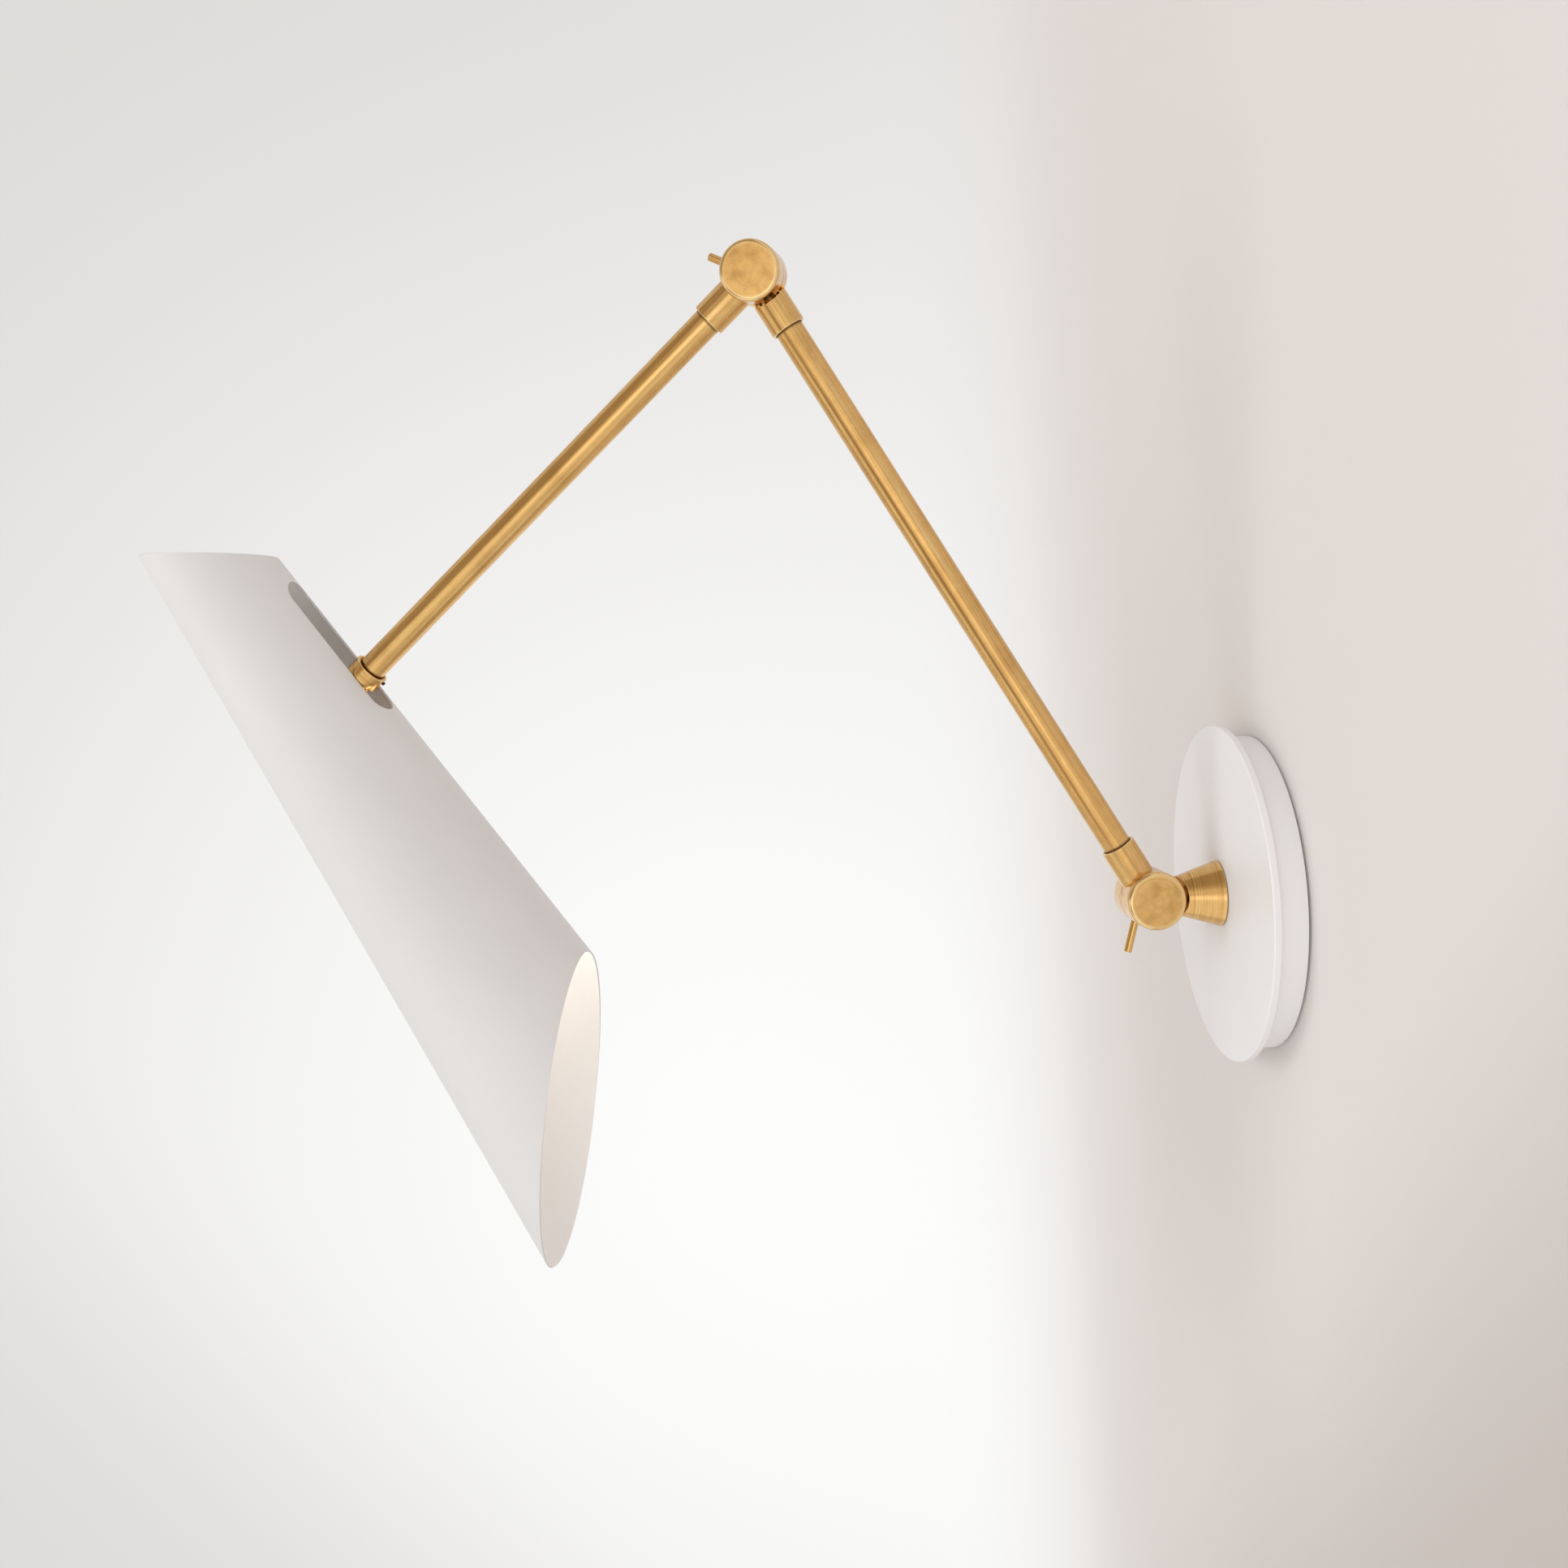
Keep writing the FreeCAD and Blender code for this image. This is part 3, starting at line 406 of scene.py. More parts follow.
@dataclass(frozen=True)
class AgedBrass(Finish):
    """Brushed brass, darkened unevenly with age, with a painted highlight on its rims and bands of painted
    shade.

    Lengths are in millimetres, apart from the bump's.
    """

    place: Matrix
    grain: Grain
    # The rims get a painted highlight in the lightest colour, which also serves the worn streaks.
    rims: tuple[Rim, ...] = ()
    seed: float = 0.0
    brushing: float = 1.0
    # The height lines get bands of painted shade in the darkest colour.
    shade_lines: tuple[float, ...] = ()
    bright: Colour = (0.92, 0.695, 0.36, 1.0)
    middle: Colour = (0.77, 0.47, 0.165, 1.0)
    patina: Colour = (0.42, 0.190, 0.045, 1.0)
    painted_shade: Colour = (0.060, 0.028, 0.010, 1.0)
    shade_line_reach: float = 1.5
    streak_scale: float = 1.3
    streak_length: float = 0.010
    broad_streak: float = 0.28
    mottle_scale: float = 0.07
    spot_scale: float = 6.0
    streak_share: float = 0.45
    spot_share: float = 0.10
    aged_from: Pair = (0.38, 0.70)
    worn_from: Pair = (0.50, 0.74)
    drawn_from: Pair = (0.30, 0.44)
    aged: float = 0.50
    worn: float = 0.60
    drawn: float = 0.40
    # Strength of the painted rim highlight.
    rim_highlight: float = 0.75
    # Strength of the painted shade bands.
    shade_strength: float = 0.85
    roughness: float = 0.17
    uneven: float = 0.06
    shade_roughness: float = 0.20
    coat: float = 0.15
    coat_roughness: float = 0.10
    fine_relief: float = 0.7
    broad_relief: float = 0.5
    bump_height: float = 0.006 * MM

    def sockets(self, shader: Shader) -> dict[str, Socket]:
        """Mix the brass by age and brushing, with painted rim highlights and painted shade bands.

        Args:
            shader: Node tree that the nodes are added to.

        Returns:
            Values and links of the Principled shader.
        """
        point = shader.local_point(self.place)
        radius, height, streaks = self._brushing(shader, *shader.sides(point))
        fine = shader.noise(streaks, self.streak_scale, detail=3.0, rough=0.65)
        broad = shader.noise(streaks, self.streak_scale * self.broad_streak)
        cloud = shader.noise(point, self.mottle_scale, detail=3.0, rough=0.55)
        spots = shader.noise(point, self.mottle_scale * self.spot_scale, rough=0.6)
        streaked = self.streak_share * self.brushing
        clouded = 1.0 - self.spot_share - streaked
        age = (cloud * clouded + broad * streaked + spots * self.spot_share).ramp(*self.aged_from)
        worn = fine.ramp(*self.worn_from) * (self.worn * self.brushing)
        drawn = (1.0 - fine.ramp(*self.drawn_from)) * (self.drawn * self.brushing)
        colour = shader.mix(age * self.aged + drawn, self.middle, self.patina)
        colour = shader.mix(worn, colour, self.bright)
        roughness = self.roughness + fine * self.uneven + age * self.uneven
        # Painted highlight: the rims are mixed towards the lightest brass, with lower roughness.
        rim_highlight_mask = self._rim_highlight_mask(radius, height)
        if rim_highlight_mask is not None:
            colour = shader.mix(rim_highlight_mask * self.rim_highlight, colour, self.bright)
            roughness = roughness - rim_highlight_mask * self.uneven
        # Painted shade: dark, rougher bands across the height lines, where a tube enters its end pieces.
        for line in self.shade_lines:
            painted_shade = height.band(line, self.shade_line_reach) * self.shade_strength
            colour = shader.mix(painted_shade, colour, self.painted_shade)
            roughness = roughness + painted_shade * self.shade_roughness
        relief = fine * self.fine_relief + broad * self.broad_relief
        return {
            "Base Color": colour,
            "Metallic": 1.0,
            "Roughness": roughness,
            "Coat Weight": self.coat,
            "Coat Roughness": self.coat_roughness,
            "Normal": shader.bump(relief, self.bump_height * self.brushing),
        }

    def _brushing(self, shader: Shader, x: Field, y: Field, z: Field) -> tuple[Field, Field, Field]:
        """Lay the brushing along or around the piece.

        Args:
            shader: Node tree that the nodes are added to.
            x: Local X.
            y: Local Y.
            z: Local Z.

        Returns:
            Radius and height about the grain's axis, and a vector drawn out along the brushing.
        """
        if self.grain is Grain.ALONG_Z:
            drawn = shader.combine(x + self.seed, y, z * self.streak_length)
            return x.length_with(y), z, drawn
        around = {
            Grain.AROUND_X: (x, y, z),
            Grain.AROUND_Y: (y, x, z),
            Grain.AROUND_Z: (z, x, y),
        }
        height, first, second = around[self.grain]
        radius = first.length_with(second)
        drift = (first + second) * self.streak_length
        return radius, height, shader.combine(radius + self.seed, height, drift)

    def _rim_highlight_mask(self, radius: Field, height: Field) -> Field | None:
        """Mask the rims that get a painted highlight.

        Args:
            radius: Radius about the grain's axis.
            height: Height along it.

        Returns:
            The mask, or None where there are no such rims.
        """
        mask = None
        for rim in self.rims:
            ring = radius.band(rim.radius, rim.reach) * height.band(rim.height, rim.reach)
            mask = ring if mask is None else mask + ring
        return mask


@dataclass(frozen=True)
class SatinPaint(Finish):
    """Off-white powder coat with a faint orange peel and slightly uneven gloss."""

    base: Colour = (0.80, 0.788, 0.786, 1.0)
    shadowed: Colour = (0.77, 0.755, 0.750, 1.0)
    roughness: float = 0.42
    peel_size: float = 1.1 * MM
    peel_height: float = 0.010 * MM
    cloud_scale: float = 9.0
    dust_scale: float = 420.0
    dustiness: float = 0.10
    cloud_dullness: float = 0.10
    dust_dullness: float = 0.06
    dusty_from: Pair = (0.60, 0.80)
    shadowed_from: Pair = (0.35, 0.75)

    def sockets(self, shader: Shader) -> dict[str, Socket]:
        """Mix the paint by cloud and dust over its peel.

        Args:
            shader: Node tree that the nodes are added to.

        Returns:
            Values and links of the Principled shader.
        """
        point = shader.point()
        peel = shader.noise(point, 1.0 / self.peel_size, rough=0.45)
        cloud = shader.noise(point, self.cloud_scale, detail=3.0)
        dust = shader.noise(point, self.dust_scale, rough=0.7).ramp(*self.dusty_from)
        colour = shader.mix(cloud.ramp(*self.shadowed_from), self.base, self.shadowed)
        return {
            "Base Color": shader.mix(dust * self.dustiness, colour, self.shadowed),
            "Roughness": self.roughness + cloud * self.cloud_dullness + dust * self.dust_dullness,
            "IOR": REFRACTION,
            "Normal": shader.bump(peel, self.peel_height),
        }


@dataclass(frozen=True)
class PlainMetal(Finish):
    """Machined or plated metal with short scratches and a dull bloom."""

    base: Colour
    dull: Colour
    roughness: float = 0.32
    scratch_size: float = 0.35 * MM
    scratch_stretch: float = 0.12
    scratch_depth: float = 0.008 * MM
    bloom_scale: float = 140.0
    bloom_dullness: float = 0.14
    scratch_dullness: float = 0.08
    dull_from: Pair = (0.40, 0.72)

    def sockets(self, shader: Shader) -> dict[str, Socket]:
        """Dull the metal by its bloom and scratch it.

        Args:
            shader: Node tree that the nodes are added to.

        Returns:
            Values and links of the Principled shader.
        """
        point = shader.point()
        x, y, z = shader.sides(point)
        drawn = shader.combine(x * self.scratch_stretch, y, z)
        scratch = shader.noise(drawn, 1.0 / self.scratch_size, rough=0.6)
        bloom = shader.noise(point, self.bloom_scale, detail=3.0, rough=0.6)
        dulled = bloom * self.bloom_dullness + scratch * self.scratch_dullness
        return {
            "Base Color": shader.mix(bloom.ramp(*self.dull_from), self.base, self.dull),
            "Metallic": 1.0,
            "Roughness": self.roughness + dulled,
            "Normal": shader.bump(scratch, self.scratch_depth),
        }


@dataclass(frozen=True)
class DullSolid(Finish):
    """Paint, fibre, plastic or ceramic with a fine speckle."""

    base: Colour
    speck: Colour
    roughness: float = 0.6
    speck_size: float = 0.4 * MM
    cloud_scale: float = 60.0
    bump_height: float = 0.02 * MM
    speckled_from: Pair = (0.45, 0.75)
    speck_share: float = 0.7
    cloud_share: float = 0.2
    grain_dullness: float = 0.12

    def sockets(self, shader: Shader) -> dict[str, Socket]:
        """Speckle the solid.

        Args:
            shader: Node tree that the nodes are added to.

        Returns:
            Values and links of the Principled shader.
        """
        point = shader.point()
        grain = shader.noise(point, 1.0 / self.speck_size, detail=3.0, rough=0.6)
        cloud = shader.noise(point, self.cloud_scale)
        specks = grain.ramp(*self.speckled_from) * self.speck_share + cloud * self.cloud_share
        return {
            "Base Color": shader.mix(specks, self.base, self.speck),
            "Roughness": self.roughness + grain * self.grain_dullness,
            "Normal": shader.bump(grain, self.bump_height),
        }


@dataclass(frozen=True)
class FrostedGlass(Finish):
    """Bulb glass frosted on the inside, with a faint warm glow."""

    base: Colour = (0.93, 0.92, 0.89, 1.0)
    clouded: Colour = (0.89, 0.87, 0.83, 1.0)
    glow: Colour = (1.0, 0.86, 0.72, 1.0)
    glow_level: float = 2.5
    cloud_scale: float = 70.0
    roughness: float = 0.18
    bump_height: float = 0.01 * MM
    clouded_from: Pair = (0.4, 0.7)
    cloud_dullness: float = 0.10

    def sockets(self, shader: Shader) -> dict[str, Socket]:
        """Cloud the glass and let it glow.

        Args:
            shader: Node tree that the nodes are added to.

        Returns:
            Values and links of the Principled shader.
        """
        cloud = shader.noise(shader.point(), self.cloud_scale)
        return {
            "Base Color": shader.mix(cloud.ramp(*self.clouded_from), self.base, self.clouded),
            "Roughness": self.roughness + cloud * self.cloud_dullness,
            "IOR": REFRACTION,
            "Normal": shader.bump(cloud, self.bump_height),
            "Emission Color": shader.mix(cloud, self.glow, self.base),
            "Emission Strength": self.glow_level,
        }


STEEL = PlainMetal("zinc_plated_steel", (0.58, 0.58, 0.57, 1.0), (0.42, 0.43, 0.44, 1.0))
DARK_STEEL = PlainMetal("blackened_steel_screw", (0.05, 0.048, 0.045, 1.0), (0.02, 0.02, 0.02, 1.0), 0.42)
SPUN_BRASS = PlainMetal("holder_brass", (0.72, 0.54, 0.26, 1.0), (0.52, 0.36, 0.15, 1.0), 0.26)
NICKEL = PlainMetal("bulb_cap_nickel", (0.66, 0.64, 0.60, 1.0), (0.50, 0.48, 0.44, 1.0), 0.25)
FIBRE = DullSolid("washer_fibre", (0.020, 0.015, 0.012, 1.0), (0.07, 0.05, 0.035, 1.0), 0.8)
CERAMIC = DullSolid("holder_ceramic", (0.78, 0.75, 0.68, 1.0), (0.66, 0.62, 0.55, 1.0), 0.38)
EARTH_GREEN = DullSolid("earth_screw_paint", (0.03, 0.22, 0.06, 1.0), (0.02, 0.12, 0.04, 1.0), 0.35)
WHITE_OUTSIDE = SatinPaint("satin_white_outside")
# The canopy's white is a lighter copy of the shade's paint: painted light where less light falls on the
# canopy.
WHITE_CANOPY_BRIGHTENED = SatinPaint("satin_white_canopy_brightened", (0.89, 0.872, 0.865, 1.0), (0.86, 0.84, 0.83, 1.0))
# The inside's white is a brighter, warmer copy of the same paint: painted light inside the shade and on its
# spider.
WHITE_INSIDE_BRIGHTENED = SatinPaint("white_inside_brightened", (0.93, 0.92, 0.905, 1.0), (0.91, 0.897, 0.88, 1.0), 0.5)
GLASS = FrostedGlass("frosted_bulb_glass")


# ------------------------------------------------------------------ outlines
@dataclass
class Outline:
    """Outline of a turned piece: corners of radius, height and, where one is rounded, its fillet."""

    corners: list[Corner]
    arc_steps: int = 6

    def points(self, closed: bool) -> list[Pair]:
        """Points of the outline, with each rounded corner as an arc.

        Args:
            closed: Whether the last corner joins the first.

        Returns:
            Points of radius and height.
        """
        count = len(self.corners)
        found: list[Pair] = []
        for index, (radius, height, *fillet) in enumerate(self.corners):
            at_end = index in (0, count - 1) and not closed
            if at_end or not fillet or fillet[0] <= 0.0:
                found.append((radius, height))
                continue
            before = Vector(self.corners[index - 1][:2])
            after = Vector(self.corners[(index + 1) % count][:2])
            found += self._arc(Vector((radius, height)), before, after, fillet[0])
        return found

    def _arc(self, corner: Vector, before: Vector, after: Vector, fillet: float) -> list[Pair]:
        """Round one corner.

        Args:
            corner: The corner.
            before: The corner before it.
            after: The corner after it.
            fillet: Radius of the arc.

        Returns:
            Points of the arc.
        """
        back = (before - corner).normalized()
        ahead = (after - corner).normalized()
        half = back.angle(ahead) / 2.0
        centre = corner + (back + ahead).normalized() * (fillet / math.sin(half))
        start = corner + back * (fillet / math.tan(half)) - centre
        end = corner + ahead * (fillet / math.tan(half)) - centre
        sweep = math.pi - 2.0 * half
        places = []
        for step in range(self.arc_steps + 1):
            share = step / self.arc_steps
            along = start * math.sin((1.0 - share) * sweep) + end * math.sin(share * sweep)
            places.append(tuple(centre + along / math.sin(sweep)))
        return places


def thread_corners(start: float, end: float, pitch: float, turn: list[Corner]) -> tuple[list[Corner], float]:
    """Repeat one turn of a thread along its axis.

    Args:
        start: Height where the first turn starts.
        end: Height that no turn passes.
        pitch: Height of a turn.
        turn: Corners of one turn: radius, height as a share of the pitch and, if rounded, fillet.

    Returns:
        The thread's corners and the height where its last turn ends.
    """
    corners: list[Corner] = []
    height = start
    while height + pitch < end:
        corners += [(radius, height + share * pitch, *fillet) for radius, share, *fillet in turn]
        height += pitch
    return corners, height


# ------------------------------------------------------------------ modelling by hand
def start_clean() -> None:
    """Leave edit mode and deselect everything."""
    if bpy.context.object is not None and bpy.context.object.mode != "OBJECT":
        bpy.ops.object.mode_set(mode="OBJECT")
    bpy.ops.object.select_all(action="DESELECT")


def pick(piece: Piece) -> None:
    """Make one piece the only selected and active one.

    Args:
        piece: The piece.
    """
    start_clean()
    piece.select_set(True)
    bpy.context.view_layer.objects.active = piece


def apply_place() -> None:
    """Put the active piece's place, turn and scale into its mesh."""
    bpy.ops.object.transform_apply(location=True, rotation=True, scale=True)


def shift(piece: Piece, move: Triple) -> None:
    """Move a piece, with its place kept in its mesh.

    Args:
        piece: The piece.
        move: How far it moves along each axis.
    """
    pick(piece)
    bpy.ops.transform.translate(value=move)
    apply_place()


def select_edges(piece: Piece, wanted: Callable[[Vector, Vector], bool]) -> None:
    """Select edges of a piece in edit mode by their place.

    Args:
        piece: The piece, in edit mode.
        wanted: Test of an edge's two ends.
    """
    bpy.ops.mesh.select_mode(type="EDGE")
    bpy.ops.mesh.select_all(action="DESELECT")
    shape = bmesh.from_edit_mesh(piece.data)
    for edge in shape.edges:
        edge.select_set(wanted(edge.verts[0].co, edge.verts[1].co))
    shape.select_flush_mode()
    bmesh.update_edit_mesh(piece.data)


def tidy_shell() -> None:
    """Merge doubles and point the faces outwards, in edit mode."""
    bpy.ops.mesh.select_all(action="SELECT")
    bpy.ops.mesh.remove_doubles(threshold=MERGE_TURNED)
    bpy.ops.mesh.normals_make_consistent(inside=False)


def turn_piece(
    name: str, outline: Outline, axis: Axis = Axis.Z, steps: int = 96, closed: bool = True
) -> Piece:
    """Draw an outline by extruding one point, then spin it round an axis.

    Args:
        name: The piece's name.
        outline: The outline, which starts and ends on the axis if it isn't closed.
        axis: Local axis of turning.
        steps: Steps round the turn.
        closed: Whether the outline joins up on itself.

    Returns:
        The turned piece, in its local frame.
    """
    start_clean()
    bpy.ops.mesh.primitive_plane_add(size=MM, location=(0.0, 0.0, 0.0))
    piece = bpy.context.object
    piece.name = name
    piece.data.name = name
    places = [axis.point(*place) for place in outline.points(closed)]
    if closed:
        places.append(places[0])
    bpy.ops.object.mode_set(mode="EDIT")
    bpy.ops.mesh.select_mode(type="VERT")
    bpy.ops.mesh.merge(type="CENTER")
    bpy.ops.transform.translate(value=places[0])
    for before, after in zip(places, places[1:]):
        bpy.ops.mesh.extrude_region_move(TRANSFORM_OT_translate={"value": after - before})
    bpy.ops.mesh.select_all(action="SELECT")
    bpy.ops.mesh.remove_doubles(threshold=MERGE_DRAWN)
    bpy.ops.mesh.spin(steps=steps, angle=FULL_TURN, center=(0.0, 0.0, 0.0), axis=axis.direction())
    tidy_shell()
    bpy.ops.object.mode_set(mode="OBJECT")
    return piece


def rod(name: str, radius: float, ends: Pair, axis: Axis, steps: int, edge: float = 0.0) -> Piece:
    """Turn a plain round rod.

    Args:
        name: The rod's name.
        radius: Its radius.
        ends: Where it starts and ends along its axis.
        axis: Local axis of the rod.
        steps: Steps round the turn.
        edge: Fillet of its two edges.

    Returns:
        The rod.
    """
    start, end = ends
    outline = Outline([(0.0, start), (radius, start, edge), (radius, end, edge), (0.0, end)])
    return turn_piece(name, outline, axis, steps, closed=False)


def rounded_bar(name: str, half_length: float, half_width: float, depth: float) -> Piece:
    """Bar with half-round ends, long in Z, wide in X and deep in Y.

    Args:
        name: The bar's name.
        half_length: Half of its length, ends included.
        half_width: Half of its width, which is its ends' radius.
        depth: How far it reaches along -Y from the local axis.

    Returns:
        The bar.
    """
    start_clean()
    bpy.ops.mesh.primitive_cylinder_add(
        vertices=96, radius=half_width, depth=depth, location=(0.0, -depth / 2.0, 0.0),
        rotation=(math.pi / 2.0, 0.0, 0.0),
    )
    bar = bpy.context.object
    bar.name = name
    apply_place()
    bpy.ops.object.mode_set(mode="EDIT")
    bpy.ops.mesh.select_all(action="SELECT")
    bpy.ops.mesh.bisect(plane_co=(0.0, 0.0, 0.0), plane_no=Z_AXIS)
    for side in (-1.0, 1.0):
        select_edges(bar, lambda a, b: side * a.z > OFF_AXIS or side * b.z > OFF_AXIS)
        bpy.ops.transform.translate(value=(0.0, 0.0, side * (half_length - half_width)))
    tidy_shell()
    bpy.ops.object.mode_set(mode="OBJECT")
    return bar


def finish_with(piece: Piece, kind: str, **settings: object) -> None:
    """Add a modifier to a piece, set it and apply it.

    Args:
        piece: The piece.
        kind: The modifier's type.
        settings: The modifier's settings.
    """
    pick(piece)
    bpy.ops.object.modifier_add(type=kind)
    modifier = piece.modifiers[-1]
    for name, value in settings.items():
        setattr(modifier, name, value)
    bpy.ops.object.modifier_apply(modifier=modifier.name)


def combine(piece: Piece, tool: Piece, operation: str) -> None:
    """Join a tool to a piece, or cut it away, and drop the tool.

    Args:
        piece: The piece that is kept.
        tool: The shape that is joined or cut away.
        operation: UNION or DIFFERENCE.
    """
    finish_with(
        piece, "BOOLEAN", operation=operation, solver="EXACT", material_mode="TRANSFER", object=tool
    )
    bpy.data.objects.remove(tool)


def smooth(piece: Piece, angle: float = 32.0) -> None:
    """Shade a piece smooth, with its large faces kept flat.

    Args:
        piece: The piece.
        angle: Angle in degrees above which an edge stays sharp.
    """
    pick(piece)
    bpy.ops.object.shade_smooth_by_angle(angle=math.radians(angle))
    finish_with(piece, "WEIGHTED_NORMAL", keep_sharp=True)


def paint(piece: Piece, *finishes: Material) -> None:
    """Give a piece its materials, the first one all over.

    Args:
        piece: The piece.
        finishes: Its materials.
    """
    piece.data.materials.clear()
    for finish in finishes:
        piece.data.materials.append(finish)


def set_in_place(piece: Piece, place: Matrix, body: str, node: str) -> None:
    """Put a finished piece in its place in the frame.

    Args:
        piece: The piece, modelled in its local frame.
        place: That frame's matrix.
        body: The body that it moves with.
        node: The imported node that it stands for.
    """
    pick(piece)
    piece.matrix_world = place
    apply_place()
    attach(piece, body)
    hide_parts(node)
    log.info("%s: %d faces on %s", piece.name, len(piece.data.polygons), body)


def dress(piece: Piece, place: Matrix, body: str, node: str, finish: Material) -> None:
    """Smooth a piece, give it one finish and put it in its place.

    Args:
        piece: The piece, modelled in its local frame.
        place: That frame's matrix.
        body: The body that it moves with.
        node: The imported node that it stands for.
        finish: Its material.
    """
    smooth(piece)
    paint(piece, finish)
    set_in_place(piece, place, body, node)


def carry(finish: Material, *nodes: str) -> None:
    """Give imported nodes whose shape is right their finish.

    Args:
        finish: The material.
        nodes: The nodes' names.
    """
    for node in nodes:
        paint(frame["nodes"][node], finish)
        log.info("%s keeps its packed shape", node)


# ------------------------------------------------------------------ sub-assemblies
@dataclass
class Canopy:
    """Round plate and drum on the wall, with the crossbar and nipple that carry them."""

    disc_edge: float = 0.8 * MM
    disc_back_edge: float = 0.35 * MM
    rim_width: float = 9.0 * MM
    face: float = 1.4 * MM
    face_fillet: float = 0.5 * MM
    drum_wall: float = 1.2 * MM
    drum_bend: float = 1.0 * MM
    drum_lip: float = 0.25 * MM
    hole_gap: float = 0.2 * MM
    thread_pitch: float = 1.0 * MM
    thread_depth: float = 0.45 * MM
    bore: float = 3.2 * MM
    place: Matrix = field(default_factory=Matrix)

    def build(self) -> None:
        """Make the plate, drum and nipple, and dress what they are fixed to."""
        # The canopy's white is a lighter copy of the shade's paint, which is painted light.
        white = WHITE_CANOPY_BRIGHTENED.material()
        steel = STEEL.material()
        for name, node, corners, steps, slot, finish in (
            ("canopy_plate", "canopy_disc", self._disc(), 192, "white_paint", white),
            ("canopy_shell", "canopy_drum", self._drum(), 192, "white_paint", white),
            ("threaded_nipple", "centre_nipple", self._nipple(), 48, "steel", steel),
        ):
            piece = turn_piece(name, Outline(corners), Axis.Y, steps)
            dress(piece, self.place, "canopy", node, finish)
        carry(steel, "crossbar", "nipple_jam_nut")
        carry(EARTH_GREEN.material(), "ground_screw")
        carry(AgedBrass("brass_bushing", self.place, Grain.AROUND_Y, seed=5.0).material(), "swivel_bushing")

    def _sizes(self, node: str) -> Triple:
        """Radius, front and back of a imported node."""
        return Span.of(node, self.place).about(Axis.Y)

    def _hole(self) -> float:
        """Radius of the nipple's hole in the plate and drum."""
        return self._sizes("centre_nipple")[0] + self.hole_gap

    def _disc(self) -> list[Corner]:
        """Draw the front plate: soft front edge, thin face, thick rim.

        Returns:
            Its corners.
        """
        radius, front, back = self._sizes("canopy_disc")
        hole, boss, pocket = self._hole(), self._sizes("swivel_bushing")[0], radius - self.rim_width
        return [
            (hole, front), (radius, front, self.disc_edge), (radius, back, self.disc_back_edge),
            (pocket, back, self.disc_back_edge), (pocket, front + self.face, self.face_fillet),
            (boss, front + self.face), (boss, back), (hole, back),
        ]

    def _drum(self) -> list[Corner]:
        """Draw the pressed drum with a bent front corner and a rolled lip at the wall.

        Returns:
            Its corners.
        """
        radius, front, back = self._sizes("canopy_drum")
        hole, inside = self._hole(), radius - self.drum_wall
        return [
            (hole, front), (radius, front, self.drum_bend), (radius, back, self.drum_lip),
            (inside, back, self.drum_lip), (inside, front + self.drum_wall, self.drum_lip),
            (hole, front + self.drum_wall),
        ]

    def _nipple(self) -> list[Corner]:
        """Draw the hollow nipple with its thread's crests and roots.

        Returns:
            Its corners.
        """
        crest, start, end = self._sizes("centre_nipple")
        root = crest - self.thread_depth
        thread, _ = thread_corners(start, end, self.thread_pitch, [(root, 0.1), (crest, 0.5)])
        return [(self.bore, start), (root, start), *thread, (root, end), (self.bore, end)]


@dataclass
class BarrelShape:
    """Half of a knuckle's barrel about the local X axis, with its cap and its open pocket."""

    radius: float
    cap: float
    parting: float
    fillet: float = 1.8 * MM
    edge: float = 0.3 * MM
    pocket_wall: float = 2.6 * MM
    cap_wall: float = 3.0 * MM
    blind_wall: float = 4.0 * MM
    hub_radius: float = 5.6 * MM
    hole: float = 3.02 * MM

    def make(self, name: str, through: bool) -> Piece:
        """Turn the half barrel.

        Args:
            name: The piece's name.
            through: Whether the screw's hole runs through the cap.

        Returns:
            The half barrel in its local frame.
        """
        inward = -1.0 if self.cap > 0.0 else 1.0
        floor = self.cap + inward * self.cap_wall
        pocket = self.radius - self.pocket_wall
        corners = [
            (self.hole if through else 0.0, self.cap), (self.radius, self.cap, self.fillet),
            (self.radius, self.parting, self.edge), (pocket, self.parting, self.edge),
            (pocket, floor), (self.hub_radius, floor),
            (self.hub_radius, self.parting), (self.hole, self.parting),
        ]
        if not through:
            blind = self.cap + inward * self.blind_wall
            corners += [(self.hole, blind), (0.0, blind)]
        return turn_piece(name, Outline(corners), Axis.X, steps=160, closed=through)


@dataclass
class SleeveShape:
    """Socket for a tube along local Z, with a relieved mouth that shows as a dark line."""

    end: float
    tube_radius: float
    radius: float = 7.8 * MM
    start: float = 5.6 * MM
    floor: float = 16.0 * MM
    chamfer: float = 0.45 * MM
    relief: float = 0.28 * MM
    relief_depth: float = 1.6 * MM
    relief_edge: float = 0.15 * MM
    channel: float = 3.4 * MM

    def make(self, name: str) -> Piece:
        """Turn the sleeve.

        Args:
            name: The piece's name.

        Returns:
            The sleeve in its local frame.
        """
        mouth = self.tube_radius + self.relief
        step = self.end - self.relief_depth
        corners = [
            (self.channel, self.start), (self.radius, self.start), (self.radius, self.end, self.chamfer),
            (mouth, self.end, self.relief_edge), (mouth, step), (self.tube_radius, step),
            (self.tube_radius, self.floor), (self.channel, self.floor),
        ]
        return turn_piece(name, Outline(corners, arc_steps=3), steps=128)


